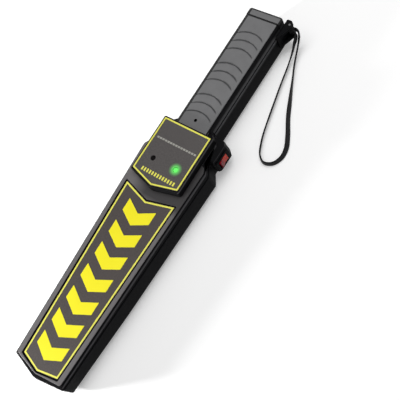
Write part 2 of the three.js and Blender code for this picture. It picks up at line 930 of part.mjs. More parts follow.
function grooveTool(y) {
  const radius = gripSkin.grooveRadius;
  const half = Math.asin((skinHalf - gripSkin.grooveMargin) / radius);
  const centreY = y - radius * Math.cos(half);
  const from = Math.PI / 2 - half;
  const to = Math.PI / 2 + half;
  const shape = new THREE.Shape();
  shape.absarc(0, centreY, radius + gripSkin.grooveWidth / 2, from, to, false);
  shape.absarc(0, centreY, radius - gripSkin.grooveWidth / 2, to, from, true);
  shape.closePath();
  return plate(shape, skinTop - gripSkin.grooveDepth, skinTop + overrun, gripSkin.grooveSteps);
}

function gripSkinSolid() {
  const shape = outline([
    [-skinHalf, blockEnd + gap], [skinHalf, blockEnd + gap], [skinHalf, skinEnd], [-skinHalf, skinEnd],
  ], gap);
  const groupLength = (gripSkin.groovesPerGroup - 1) * gripSkin.groovePitch;
  const first = blockEnd + gripSkin.firstSetback;
  const last = skinEnd - gripSkin.lastMargin - groupLength;
  const grooves = [];
  for (let group = 0; group < gripSkin.groupCount; group += 1) {
    const start = first + ((last - first) * group) / (gripSkin.groupCount - 1);
    for (let i = 0; i < gripSkin.groovesPerGroup; i += 1) {
      grooves.push(grooveTool(start + i * gripSkin.groovePitch));
    }
  }
  return cut(plate(shape, skinBottom, skinTop), trimmerHole(), ...grooves);
}

// Battery door and battery

function batteryDoor() {
  const bevelStart = buttY - depth.topChamfer;
  const tapered = (profileAt) => loftAlongY([doorStart, bevelStart, buttY].map((y, i) => ({
    y,
    profile: profileAt(i === 2 ? 1 : 0),
  })));
  const lower = tapered((share) => {
    const inset = share * depth.topChamfer;
    return trayProfile(housing.gripHalfWidth - inset, inset, depth.parting, depth.backRadius - inset);
  });
  const upper = tapered((share) => {
    const inset = (share * depth.topChamfer) / 2;
    return coverProfile(coverHalf - inset, depth.parting - gap, skinTop - inset, depth.topChamfer);
  });
  const clearance = wallThickness + gap;
  const plug = plugBetween(clearance, clearance + gap, doorStart - door.plugLength, doorStart + gap);
  const hollow = clearance + door.plugWall;
  const bore = plugBetween(hollow, hollow, doorStart - door.plugLength - overrun, bevelStart - wallThickness);
  let cap = cut(join(lower, upper, plug), bore);
  for (let i = 0; i < door.thumbGrooves; i += 1) {
    const z = depth.parting / 2 + (i - (door.thumbGrooves - 1) / 2) * door.thumbGroovePitch;
    cap = cut(cap, boxBetween(
      -battery.halfWidth, battery.halfWidth, buttY - door.thumbGrooveDepth, buttY + overrun,
      z - door.thumbGrooveWidth / 2, z + door.thumbGrooveWidth / 2));
  }
  return cap;
}

// A length of the handle's hollow, drawn in by inset at the sides and back, and by drop at the top
function plugBetween(inset, drop, y0, y1) {
  const profile = trayProfile(coverHalf - inset, inset, gripTop - drop, depth.backRadius - inset);
  return loftAlongY([{ y: y0, profile }, { y: y1, profile }]);
}

function batteryCase() {
  const section = outline([
    [-battery.halfWidth, -battery.thickness / 2], [battery.halfWidth, -battery.thickness / 2],
    [battery.halfWidth, battery.thickness / 2], [-battery.halfWidth, battery.thickness / 2],
  ], battery.edge);
  const geometry = new THREE.ExtrudeGeometry(section, {
    depth: battery.length, bevelEnabled: false, curveSegments: cornerSteps,
  });
  geometry.rotateX(-Math.PI / 2);
  return solid(placed(geometry, 0, batteryStart, batteryMiddle));
}

function batteryStud(side, radius, sides) {
  const end = batteryStart - gap;
  return lengthwiseCylinder(
    radius, (side * battery.studSpacing) / 2, batteryMiddle, batteryStart - battery.studLength, end, sides);
}

function contactLeaf(side) {
  const x = (side * battery.studSpacing) / 2;
  const foot = contactPlateY + contact.plateThickness / 2 + gap;
  const { leafBow: reach, leafThickness: thickness, leafHalfHeight: height } = contact;
  const shape = outline([
    [foot, batteryMiddle - height], [foot + thickness, batteryMiddle - height],
    [foot + reach, batteryMiddle], [foot + thickness, batteryMiddle + height],
    [foot, batteryMiddle + height], [foot + reach - thickness, batteryMiddle],
  ]);
  return sidePlate(shape, x - contact.leafWidth / 2, x + contact.leafWidth / 2);
}

function contactPlate() {
  return boxBetween(
    -contact.plateHalfWidth, contact.plateHalfWidth, contactPlateY - contact.plateThickness / 2,
    contactPlateY + contact.plateThickness / 2, battery.bottom, battery.bottom + contact.plateHeight);
}

// Electronics

function mainBoard() {
  const half = mirrored([
    [boardHalf, boardStart], [boardHalf, boardShoulder], [tongueHalf, boardShoulder + overrun],
    [tongueHalf, boardEnd],
  ]);
  const holes = boardPosts().map(([x, y]) => standingCylinder(
    board.screwRadius + gap, x, y, 0, depth.parting, smallSides));
  return cut(plate(outline(half, softCorner), board.bottom, boardTop), ...holes);
}

function boardScrew([x, y]) {
  const seat = boardTop + gap;
  return join(
    standingCylinder(board.screwRadius, x, y, board.bottom - overrun, seat + gap, smallSides),
    standingCylinder(board.screwHeadRadius, x, y, seat, seat + board.screwHeadHeight, smallSides));
}

function housingScrew([x, y]) {
  const head = backAt(y) + screws.counterbore;
  const end = Math.min(depth.parting + screws.grip, paddleTopAt(y) - wallThickness - gap);
  const body = join(
    standingCylinder(screws.headRadius, x, y, head - gap, head + screws.headHeight - gap, smallSides),
    standingCylinder(screws.shankRadius, x, y, head, end, smallSides));
  return cut(body, standingCylinder(
    screws.recessRadius, x, y, head - overrun, head - gap + screws.recessDepth, tinySides));
}

function onBoard(x, y, width, length, height) {
  const bottom = boardTop + gap;
  return boxBetween(x - width / 2, x + width / 2, y - length / 2, y + length / 2, bottom, bottom + height);
}

function processorChip() {
  const size = chips.processorSize;
  return onBoard(chips.processorX, boardShoulder - chips.processorSetback, size, size, chips.processorHeight);
}

function amplifierChip() {
  return onBoard(
    chips.amplifierX, boardShoulder - chips.amplifierSetback, chips.amplifierWidth, chips.amplifierLength,
    chips.amplifierHeight);
}

function capacitor(side) {
  const bottom = boardTop + gap;
  return standingCylinder(
    chips.capacitorRadius, side * chips.capacitorX, boardStart + chips.capacitorSetback,
    bottom, bottom + chips.capacitorHeight);
}

function lamp(side) {
  const x = side * led.offsetX;
  const flangeTop = labelSeat - wallThickness - gap;
  const flangeBottom = flangeTop - led.flangeHeight;
  const shoulder = blockTop + led.proud - led.radius / 2;
  const legs = [-1, 1].map((way) => standingCylinder(
    led.legRadius, x + (way * led.legSpacing) / 2, ledY, boardTop + gap, flangeBottom + gap, tinySides));
  return join(
    standingCylinder(led.radius, x, ledY, flangeBottom, shoulder, smallSides),
    solid(placed(domeOf(led.radius), x, ledY, shoulder)),
    standingCylinder(led.flangeRadius, x, ledY, flangeBottom, flangeTop, smallSides),
    ...legs);
}

// A flattened dome: half a circle squashed to half its height, closed by a flat base
function domeOf(radius) {
  const profile = [new THREE.Vector2(0, -radius / 2), new THREE.Vector2(radius, -radius / 2)];
  for (let i = 0; i < led.domeSteps; i += 1) {
    const angle = (i / led.domeSteps) * (Math.PI / 2);
    profile.push(new THREE.Vector2(radius * Math.cos(angle), (radius / 2) * Math.sin(angle)));
  }
  profile.push(new THREE.Vector2(0, radius / 2));
  const geometry = new THREE.LatheGeometry(profile, smallSides);
  geometry.rotateX(Math.PI / 2);
  return geometry;
}

function trimmerRotor() {
  const bottom = boardTop + gap + trimmer.height + gap;
  const top = bottom + trimmer.rotorHeight;
  const half = trimmer.rotorRadius + overrun;
  const slot = boxBetween(
    -half, half, trimmerY - trimmer.slotWidth / 2, trimmerY + trimmer.slotWidth / 2,
    top - trimmer.slotDepth, top + overrun);
  return cut(standingCylinder(trimmer.rotorRadius, 0, trimmerY, bottom, top), slot);
}

// Power switch

function switchHousing() {
  const face = switchFace + rocker.bezelProud;
  const rimLength = caseHalfLength + rocker.bezelWidth;
  const rimHeight = caseHalfHeight + rocker.bezelWidth;
  const body = boxBetween(
    boss.reach - rocker.housingDepth, face, rockerY - caseHalfLength, rockerY + caseHalfLength,
    rockerZ - caseHalfHeight, rockerZ + caseHalfHeight);
  const rim = sidePlate(outline([
    [rockerY - rimLength, rockerZ - rimHeight], [rockerY + rimLength, rockerZ - rimHeight],
    [rockerY + rimLength, rockerZ + rimHeight], [rockerY - rimLength, rockerZ + rimHeight],
  ], softCorner), switchFace, face);
  const wellLength = rocker.halfLength + gap;
  const wellHeight = rocker.halfHeight + gap;
  const well = boxBetween(
    pivotX - rocker.bodyDepth - gap, face + overrun, rockerY - wellLength, rockerY + wellLength,
    rockerZ - wellHeight, rockerZ + wellHeight);
  const pinHole = standingCylinder(
    rocker.pivotRadius + rocker.pivotClearance, pivotX, rockerY,
    rockerZ - caseHalfHeight - overrun, rockerZ + caseHalfHeight + overrun, smallSides);
  return cut(join(body, rim), well, pinHole);
}

// The key seen from above: two facets that meet in a shallow V, tilted to its on position
function switchRocker() {
  const crest = switchFace + rocker.bezelProud + rocker.crest - pivotX;
  const half = rocker.halfLength * Math.cos(rocker.tilt * degree) - gap;
  const back = -rocker.bodyDepth / 2;
  const shape = outline([
    [0, -half], [crest, -half], [crest - rocker.crest, 0], [crest, half], [0, half],
    [back, half / 3], [back, -half / 3],
  ]);
  const bore = standingCylinder(
    rocker.pivotRadius + gap, 0, 0, -rocker.halfHeight - overrun, rocker.halfHeight + overrun, smallSides);
  const turned = geometryOf(cut(plate(shape, -rocker.halfHeight, rocker.halfHeight), bore));
  turned.rotateZ(rocker.tilt * degree);
  return solid(placed(turned, pivotX, rockerY, rockerZ));
}

function switchPin() {
  const half = caseHalfHeight - gap;
  return standingCylinder(rocker.pivotRadius, pivotX, rockerY, rockerZ - half, rockerZ + half, smallSides);
}

function switchTerminal(side) {
  const end = boss.reach - rocker.housingDepth - gap;
  const y = rockerY + (side * rocker.terminalSpacing) / 2;
  return boxBetween(
    end - rocker.terminalLength, end, y - rocker.terminalThickness / 2, y + rocker.terminalThickness / 2,
    rockerZ + rocker.terminalLift, rockerZ + rocker.terminalLift + rocker.terminalWidth);
}

// Loudspeaker

function speakerFrame() {
  const top = speakerBottom + speaker.height;
  return cut(
    standingCylinder(speaker.radius, 0, speakerY, speakerBottom, top),
    standingCylinder(
      speaker.radius - speaker.rim, 0, speakerY, speakerBottom - overrun, top - speaker.backThickness),
    standingCylinder(speaker.magnetRadius / 2, 0, speakerY, speakerBottom, top + overrun));
}

function speakerCone() {
  const outer = speaker.radius - speaker.rim - gap;
  const deep = speaker.coneDepth + speaker.coneThickness;
  const geometry = new THREE.LatheGeometry([
    [0, speaker.coneDepth], [outer / 2, speaker.coneDepth], [outer, 0], [outer, speaker.coneThickness],
    [outer / 2, deep], [0, deep],
  ].map((point) => new THREE.Vector2(...point)), roundSides);
  geometry.rotateX(Math.PI / 2);
  return solid(placed(geometry, 0, speakerY, speakerBottom));
}

function speakerMagnet() {
  const bottom = speakerBottom + speaker.height + gap;
  return standingCylinder(speaker.magnetRadius, 0, speakerY, bottom, bottom + speaker.magnetHeight);
}

// Vibration motor

function motorBody() {
  return cut(
    lengthwiseCylinder(motor.radius, 0, motor.axisZ, motorStart, motorEnd),
    lengthwiseCylinder(
      motor.shaftRadius + gap, 0, motor.axisZ, motorEnd - overrun, motorEnd + overrun, smallSides));
}

function motorWeight() {
  const end = motorEnd + motor.shaftLength;
  const start = end - motor.weightThickness - gap;
  const shaft = lengthwiseCylinder(
    motor.shaftRadius, 0, motor.axisZ, motorEnd - overrun + gap, end, smallSides);
  const disc = lengthwiseCylinder(motor.radius - motor.weightInset, 0, motor.axisZ, start, end - gap);
  const away = boxBetween(
    -motor.radius, motor.radius, start - overrun, end + overrun,
    motor.axisZ + motor.shaftRadius, motor.axisZ + motor.radius);
  return join(shaft, cut(disc, away));
}

// Search coil

function racetrack(inset) {
  const half = coilHalf - inset;
  const start = coil.tipMargin + inset;
  const end = coilEnd - inset;
  const radius = Math.max(half - coil.cornerInset, softCorner);
  const quarter = Math.PI / 2;
  const shape = new THREE.Shape();
  [
    [half - radius, end - radius], [-half + radius, end - radius],
    [-half + radius, start + radius], [half - radius, start + radius],
  ].forEach(([x, y], i) => shape.absarc(x, y, radius, i * quarter, (i + 1) * quarter, false));
  shape.closePath();
  return shape;
}

function racetrackRing(outerInset, innerInset, z0, z1) {
  return cut(
    plate(racetrack(outerInset), z0, z1, coil.cornerSteps),
    plate(racetrack(innerInset), z0 - overrun, z1 + overrun, coil.cornerSteps));
}

function coilFormer() {
  const lower = coil.bottom + coil.flange;
  const upper = lower + coil.windingHeight + 2 * gap;
  const groove = coil.windingWidth + gap;
  const width = groove + coil.web;
  return join(
    racetrackRing(0, width, coil.bottom, lower),
    racetrackRing(groove, width, lower - gap, upper + gap),
    racetrackRing(0, width, upper, upper + coil.flange));
}

function coilWinding() {
  const bottom = coil.bottom + coil.flange + gap;
  return racetrackRing(0, coil.windingWidth, bottom, bottom + coil.windingHeight);
}

// Leads: thin round wires along smooth paths

function lead(points) {
  const section = [];
  for (let i = 0; i < tinySides; i += 1) {
    const angle = (i / tinySides) * 2 * Math.PI;
    section.push([leads.radius * Math.cos(angle), leads.radius * Math.sin(angle)]);
  }
  const path = new THREE.CatmullRomCurve3(points.map((point) => new THREE.Vector3(...point)));
  return solid(new THREE.ExtrudeGeometry(outline(section), {
    steps: leads.steps, bevelEnabled: false, extrudePath: path,
  }));
}

function sideBySide(points, side) {
  const spread = leads.radius + gap;
  return lead(points.map(([x, y, z]) => [x + side * spread, y, z]));
}

function coilLead(side) {
  return sideBySide([
    [0, coilEnd + gap, coil.bottom + coil.flange + coil.windingHeight / 2],
    [0, coilEnd + leads.bend, coil.bottom + coil.windingHeight],
    [0, boardStart - leads.bend, leadZ], [0, boardStart + leads.clearance, leadZ],
    [0, boardStart + leads.landing, leadZ],
  ], side);
}

function speakerLead(side) {
  const start = speakerY + speaker.magnetRadius + leads.clearance;
  const end = start + leads.speakerRun;
  const z = speakerBottom + speaker.height + gap + leads.radius;
  return sideBySide([
    [leads.speakerX, start, z], [leads.speakerX, start + leads.landing, z],
    [leads.speakerX, end - leads.bend, z + leads.clearance],
    [leads.speakerX, end, board.bottom - leads.rise], [leads.speakerX, end, board.bottom - gap],
  ], side);
}

function motorLead(side) {
  const z = motor.axisZ + motor.radius + gap + leads.radius;
  return sideBySide([
    [0, boardEnd - leads.rise, leadZ], [0, boardEnd, leadZ], [0, motorStart, z],
    [0, motorStart + leads.landing, z],
  ], side);
}

function batteryLead(side) {
  const high = motor.axisZ + motor.radius + leads.overMotor;
  const start = boardEnd + leads.rise;
  const end = contactPlateY - contact.plateThickness / 2 - gap;
  const third = (end - start) / 3;
  return sideBySide([
    [leads.batteryX, boardEnd - leads.rise, leadZ], [leads.batteryX, start, leadZ + gap],
    [leads.batteryX + leads.clearance, start + third, high],
    [-leads.clearance, end - third, high], [0, end, high],
  ], side);
}

// Wrist strap

function strapPin() {
  return standingCylinder(lug.pinRadius, pinX, pinY, lug.bottom + gap, lugTop - gap, smallSides);
}

function strapKnot() {
  const half = lug.height / 2 - lug.earThickness - gap;
  const [tailX, tailY] = strapRoute[0];
  const tailHalf = tailY + strap.thickness / 2;
  const between = (x0, x1) => boxBetween(
    x0, x1, pinY - tailHalf, pinY + tailHalf, lugMiddle - strap.width / 2, lugMiddle + strap.width / 2);
  const eye = standingCylinder(eyeRadius, pinX, pinY, lugMiddle - half, lugMiddle + half, smallSides);
  const bore = standingCylinder(
    lug.pinRadius + gap, pinX, pinY, lugMiddle - half - overrun, lugMiddle + half + overrun, smallSides);
  return cut(join(eye, between(pinX, pinX + tailX - gap)), bore);
}

function wristStrap() {
  const halfWidth = strap.width / 2;
  const half = strap.thickness / 2;
  const bevel = half / 2;
  const section = outline([
    [-halfWidth, -half + bevel], [-halfWidth + bevel, -half], [halfWidth - bevel, -half],
    [halfWidth, -half + bevel], [halfWidth, half - bevel], [halfWidth - bevel, half],
    [-halfWidth + bevel, half], [-halfWidth, half - bevel],
  ]);
  const path = new THREE.CatmullRomCurve3(
    strapRoute.map(([x, y, z]) => new THREE.Vector3(pinX + x, pinY + y, z)));
  path.computeFrenetFrames = leaningFrames;
  return solid(new THREE.ExtrudeGeometry(section, {
    steps: strap.steps, bevelEnabled: false, extrudePath: path,
  }));
}

function leanAt(share) {
  const next = Math.max(1, strapLeanShares.findIndex(([end]) => end >= share));
  const [from, start] = strapLeanShares[next - 1];
  const [to, end] = strapLeanShares[next];
  return THREE.MathUtils.smoothstep(share, from, to) * (end - start) + start;
}

// Keeps the strap's width upright along its route, apart from the lean given at each share
function leaningFrames(segments) {
  const tangents = [];
  const normals = [];
  const binormals = [];
  const up = new THREE.Vector3(0, 0, 1);
  for (let i = 0; i <= segments; i += 1) {
    const tangent = this.getTangentAt(i / segments);
    const side = new THREE.Vector3().crossVectors(tangent, up).normalize();
    side.applyAxisAngle(tangent, leanAt(i / segments) * degree);
    const normal = new THREE.Vector3().crossVectors(side, tangent);
    tangents.push(tangent);
    normals.push(normal);
    binormals.push(new THREE.Vector3().crossVectors(tangent, normal));
  }
  return { tangents, normals, binormals };
}

// Assembly

const group = new THREE.Group();

function add(name, manifold, material) {
  const mesh = new THREE.Mesh(geometryOf(manifold), material);
  mesh.name = name;
  group.add(mesh);
}

add('back_shell', backShell(), blackPlastic());
add('front_shell', frontShell(), blackPlastic());
add('paddle_frame', paddleFrame(), greyPlastic());
add('paddle_label', paddlePrint(), labelFilm());
add('control_label', controlPrint(), labelFilm());
add('grip_skin', gripSkinSolid(), greyPlastic());
add('battery_door', batteryDoor(), greyPlastic());
add('battery_case', batteryCase(), finish(0x8a8f96, 0.35, 0.8));
add('battery_stud_small', batteryStud(-1, battery.smallStudRadius, smallSides), studMetal());
add('battery_stud_large', batteryStud(1, battery.largeStudRadius, tinySides), studMetal());
add('contact_plate', contactPlate(), finish(0x27452e, 0.6));
add('contact_positive', contactLeaf(-1), springMetal());
add('contact_negative', contactLeaf(1), springMetal());
add('main_board', mainBoard(), finish(0x1f5a34, 0.55));
boardPosts().forEach((place, i) => add(`board_screw_${i + 1}`, boardScrew(place), brightMetal()));
screwPlaces.forEach((place, i) => add(`housing_screw_${i + 1}`, housingScrew(place), darkMetal()));
add('processor_chip', processorChip(), finish(0x18181a, 0.5));
add('amplifier_chip', amplifierChip(), finish(0x18181a, 0.5));
add('trimmer_body', onBoard(0, trimmerY, trimmer.size, trimmer.size, trimmer.height), finish(0x2a4f9c, 0.5));
add('trimmer_rotor', trimmerRotor(), finish(0xe8e6dc, 0.5));
add('led_green', lamp(1), finish(0x5cf06a, 0.2));
add('led_red', lamp(-1), finish(0x5c1116, 0.2));
add('switch_housing', switchHousing(), blackPlastic());
add('switch_rocker', switchRocker(), finish(0xb52a22, 0.4));
add('switch_pin', switchPin(), brightMetal());
add('speaker_frame', speakerFrame(), finish(0x77797c, 0.4, 1));
add('speaker_cone', speakerCone(), finish(0x1c1c1c, 0.9));
add('speaker_magnet', speakerMagnet(), finish(0x8d8f92, 0.4, 1));
add('motor_body', motorBody(), finish(0xb4b6b9, 0.35, 1));
add('motor_weight', motorWeight(), finish(0x8b8378, 0.4, 1));
add('coil_former', coilFormer(), finish(0xd8d4c6, 0.6));
add('search_coil', coilWinding(), finish(0xb0622c, 0.4, 0.7));
for (const [end, side, color] of [['left', -1, 0xb03a2e], ['right', 1, 0x26262a]]) {
  add(`capacitor_${end}`, capacitor(side), finish(0x23304f, 0.4, 0.2));
  add(`coil_lead_${end}`, coilLead(side), finish(color, 0.6));
  add(`speaker_lead_${end}`, speakerLead(side), finish(color, 0.6));
  add(`motor_lead_${end}`, motorLead(side), finish(color, 0.6));
  add(`battery_lead_${end}`, batteryLead(side), finish(color, 0.6));
  add(`switch_terminal_${end}`, switchTerminal(side), springMetal());
}
add('strap_lug', lugSolid(), blackPlastic());
add('strap_pin', strapPin(), brightMetal());
add('strap_knot', strapKnot(), finish(0x151517, 0.9));
add('wrist_strap', wristStrap(), finish(0x151517, 0.9));

// The origin is the bottom centre of the wand itself, without its strap
const cordNames = ['strap_knot', 'wrist_strap'];
const box = new THREE.Box3();
group.children.filter(({ name }) => !cordNames.includes(name)).forEach((mesh) => box.expandByObject(mesh));
group.position.set(-(box.min.x + box.max.x) / 2, -(box.min.y + box.max.y) / 2, -box.min.z);

export default group;
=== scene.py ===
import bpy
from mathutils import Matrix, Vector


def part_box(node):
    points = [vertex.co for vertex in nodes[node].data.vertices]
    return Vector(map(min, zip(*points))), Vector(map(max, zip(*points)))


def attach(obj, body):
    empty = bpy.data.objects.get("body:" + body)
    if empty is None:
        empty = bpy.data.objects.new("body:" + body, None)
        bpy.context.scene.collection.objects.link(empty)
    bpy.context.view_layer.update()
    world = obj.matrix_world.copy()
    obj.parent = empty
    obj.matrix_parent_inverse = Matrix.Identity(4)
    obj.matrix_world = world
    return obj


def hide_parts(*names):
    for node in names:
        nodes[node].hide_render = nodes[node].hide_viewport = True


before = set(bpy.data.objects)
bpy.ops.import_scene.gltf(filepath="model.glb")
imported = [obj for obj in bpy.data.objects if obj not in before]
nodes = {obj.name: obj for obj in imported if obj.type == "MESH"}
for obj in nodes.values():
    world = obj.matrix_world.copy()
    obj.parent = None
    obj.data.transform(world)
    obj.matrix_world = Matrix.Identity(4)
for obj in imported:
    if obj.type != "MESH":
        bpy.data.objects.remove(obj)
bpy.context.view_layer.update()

import math

import bmesh
import bpy
import numpy as np
from mathutils import Matrix, Vector

mm = 0.001

# The wand's own millimetres: x from its centre line, y from the tip, z from its back.
tipRounding = 0.2664  # the shell's rounded tip stands back this far from y = 0
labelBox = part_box("paddle_label")
centreX = (labelBox[0].x + labelBox[1].x) / 2
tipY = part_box("back_shell")[0].y - tipRounding * mm


def onWand(points):
    # metres in the frame = millimetres on the wand, scaled and moved to the wand's place
    return np.asarray(points, float) * mm + np.array([centreX, tipY, 0.0])


def addObject(name, data):
    thing = bpy.data.objects.new(name, data)
    bpy.context.scene.collection.objects.link(thing)
    return thing


def aimed(place, target, roll=0.0):
    # stands at the place, looks at the target and is rolled about that line by some degrees
    sight = Vector(onWand(target) - onWand(place)).to_track_quat("-Z", "Y").to_matrix().to_4x4()
    return Matrix.Translation(onWand(place)) @ sight @ Matrix.Rotation(math.radians(roll), 4, "Z")


# Camera at the photograph's viewing angle, fitted to the wand's outline there
camera = {"lens": 58.25, "place": (326.16, 142.13, 547.73), "target": (41.13, 218.4, 20), "roll": -44.211}
cameraData = bpy.data.cameras.new("camera")
cameraData.lens = camera["lens"]
cameraObject = addObject("camera", cameraData)
cameraObject.matrix_world = aimed(camera["place"], camera["target"], camera["roll"])
bpy.context.scene.camera = cameraObject
print("camera set")


# Helpers for materials and meshes
def linear(code):
    # sRGB hex to linear colour
    parts = np.array([int(code[i:i + 2], 16) for i in (1, 3, 5)]) / 255
    return (*np.where(parts <= 0.04045, parts / 12.92, ((parts + 0.055) / 1.055) ** 2.4), 1.0)


def addNode(owner, kind, inputs=(), **settings):
    # a node with its settings; its inputs come in order or by name, each a value, an output or a node
    node = owner.node_tree.nodes.new("ShaderNode" + kind)
    for name, value in settings.items():
        setattr(node, name, value)
    if isinstance(inputs, dict):
        pairs = [(node.inputs[name], value) for name, value in inputs.items()]
    else:
        pairs = zip([socket for socket in node.inputs if socket.enabled], inputs)
    for socket, value in pairs:
        if isinstance(value, bpy.types.Node):
            value = next(output for output in value.outputs if output.enabled)
        if isinstance(value, bpy.types.NodeSocket):
            owner.node_tree.links.new(value, socket)
        else:
            socket.default_value = value
    return node


def newMaterial(name):
    material = bpy.data.materials.new(name)
    material.use_nodes = True
    material.node_tree.nodes.clear()
    return material


def surfaced(material, inputs):
    # the material's surface: a Principled shader with these values and links
    addNode(material, "OutputMaterial", {"Surface": addNode(material, "BsdfPrincipled", inputs)})
    return material


def meshPiece(name, vertices, faces, material, body, smooth=False):
    mesh = bpy.data.meshes.new(name)
    mesh.from_pydata(vertices.tolist(), [], faces)
    mesh.update()
    if smooth:
        mesh.shade_smooth()
    mesh.materials.append(material)
    piece = addObject(name, mesh)
    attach(piece, body)
    return piece


def ringFaces(rows, columns, closedRows=False):
    # quads of a grid whose rows are closed rings of the same number of points
    i = np.arange(rows if closedRows else rows - 1)[:, None]
    j = np.arange(columns)[None, :]
    a = i * columns + j
    b = i * columns + (j + 1) % columns
    c = (i + 1) % rows * columns + (j + 1) % columns
    d = (i + 1) % rows * columns + j
    return np.stack([a, b, c, d], axis=-1).reshape(-1, 4).tolist()


# Moulded pieces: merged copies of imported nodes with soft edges
softEdges = {
    "merge": 0.002,  # corners closer than this, in mm, become one
    "flat": 0.6,  # neighbouring faces that turn by fewer degrees become one
    "sharp": 28,  # edges that turn by more degrees are rounded
    "segments": 2,
    "flatWeight": 60,  # how far large faces lead the shading of small ones
}


def mergeFlatPatches(shape):
    # flat patches without holes become one face each; a patch with a hole keeps its triangles
    limit = math.radians(softEdges["flat"])
    seen = set()
    patches = []
    for start in shape.faces:
        if start in seen:
            continue
        seen.add(start)
        patch, queue = [start], [start]
        while queue:
            for edge in queue.pop().edges:
                if edge.calc_face_angle(math.pi) > limit:
                    continue
                for other in edge.link_faces:
                    if other not in seen:
                        seen.add(other)
                        patch.append(other)
                        queue.append(other)
        edges = {edge for face in patch for edge in face.edges}
        corners = {corner for face in patch for corner in face.verts}
        # corners - edges + faces is 1 only where a patch has no hole
        if len(patch) > 1 and len(corners) - len(edges) + len(patch) == 1:
            patches.append(patch)
    for patch in patches:
        bmesh.ops.dissolve_faces(shape, faces=patch)


def finishedCopy(node, name, material, edge=0.45, body="housing"):
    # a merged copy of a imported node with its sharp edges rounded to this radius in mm
    shape = bmesh.new()
    shape.from_mesh(nodes[node].data)
    bmesh.ops.remove_doubles(shape, verts=shape.verts, dist=softEdges["merge"] * mm)
    mergeFlatPatches(shape)
    mesh = bpy.data.meshes.new(name)
    shape.to_mesh(mesh)
    shape.free()
    mesh.materials.clear()
    mesh.materials.append(material)
    piece = addObject(name, mesh)
    bevel = piece.modifiers.new("edges", "BEVEL")
    bevel.width = edge * mm
    bevel.segments = softEdges["segments"]
    bevel.limit_method = "ANGLE"
    bevel.angle_limit = math.radians(softEdges["sharp"])
    bevel.use_clamp_overlap = False
    bevel.harden_normals = False
    flat = piece.modifiers.new("flatFaces", "WEIGHTED_NORMAL")
    flat.weight = softEdges["flatWeight"]
    mesh.shade_smooth()
    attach(piece, body)
    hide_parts(node)
    return piece


# Wrist strap: flat woven nylon tape, doubled back and sewn round the pin in the lug
strap = {
    "width": 5.5,
    "thickness": 1.5,
    "edge": 0.45,
    "edgeSteps": 4,  # points on each rounded edge of the tape's section
    "steps": 560,
    "pin": (25.8, 409.4),
    "route": [  # from the pin, out along the table and back to it
        (3.8, 1.5, 22.5), (5.2, 1.5, 22.4), (7, 0.9, 21), (8.3, -1, 17.8), (9, -4.6, 13.4), (10, -10.4, 8.9),
        (11.6, -17.6, 5.5), (14.6, -26.4, 3.6), (20, -38, 3), (28.9, -56.7, 3), (38.6, -76.8, 3),
        (48.7, -94, 3), (54.4, -106.2, 3), (55.1, -116.6, 3), (50.5, -125, 3), (42.2, -127.8, 3),
        (34.5, -122.5, 3), (28.8, -111.1, 3), (24.5, -98.4, 3), (20.3, -81.6, 3), (16, -63.6, 3),
        (12.4, -48, 3.1), (9.4, -32, 3.9), (7.8, -22, 5.7), (6.8, -14.6, 8.6), (6.3, -9, 12.6),
        (6.6, -5.2, 17), (6.3, -2.7, 20.8), (5.1, -1.5, 22.4), (3.8, -1.5, 22.5),
    ],
    "lean": [  # share of the route, and the degrees that the tape leans there
        (0, 0), (0.06, -18), (0.16, -10), (0.3, 26), (0.4, 34), (0.5, 6), (0.58, 14), (0.7, 26), (0.88, 24),
        (1, 0),
    ],
}
tapeWeave = {"rib": 1.3, "relief": 0.25, "strength": 0.5, "dark": "#08080a", "light": "#1b1b1d"}


def splineThrough(points, steps):
    # centripetal Catmull-Rom: each span blends its four nearest points by the root of their spacing
    p = np.asarray(points, float)
    p = np.vstack([2 * p[0] - p[1], p, 2 * p[-1] - p[-2]])
    knots = np.concatenate([[0], np.cumsum(np.sqrt(np.linalg.norm(np.diff(p, axis=0), axis=1)))])
    t = np.linspace(knots[1], knots[-2], steps)
    k = np.clip(np.searchsorted(knots, t, side="right") - 1, 1, len(p) - 3)

    def mix(a, b, ta, tb):
        share = ((t - ta) / (tb - ta))[:, None]
        return a * (1 - share) + b * share

    p0, p1, p2, p3 = (p[k + n] for n in (-1, 0, 1, 2))
    t0, t1, t2, t3 = (knots[k + n] for n in (-1, 0, 1, 2))
    a1, a2, a3 = mix(p0, p1, t0, t1), mix(p1, p2, t1, t2), mix(p2, p3, t2, t3)
    b1, b2 = mix(a1, a2, t0, t2), mix(a2, a3, t1, t3)
    curve = mix(b1, b2, t1, t2)
    # even steps along the curve's own length
    run = np.concatenate([[0], np.cumsum(np.linalg.norm(np.diff(curve, axis=0), axis=1))])
    even = np.linspace(0, run[-1], steps)
    return np.stack([np.interp(even, run, curve[:, axis]) for axis in range(3)], axis=1), run[-1]


def tapeSection(width, thickness, edge):
    # a rounded rectangle: its four corner arcs, in order round the section
    angles = np.linspace(0, np.pi / 2, strap["edgeSteps"])
    corners = [(1, 1, 0), (-1, 1, 1), (-1, -1, 2), (1, -1, 3)]
    arcs = []
    for side, face, quarter in corners:
        a = angles + quarter * np.pi / 2
        x = side * (thickness / 2 - edge) + edge * np.cos(a)
        y = face * (width / 2 - edge) + edge * np.sin(a)
        arcs.append(np.stack([x, y], axis=1))
    return np.vstack(arcs)


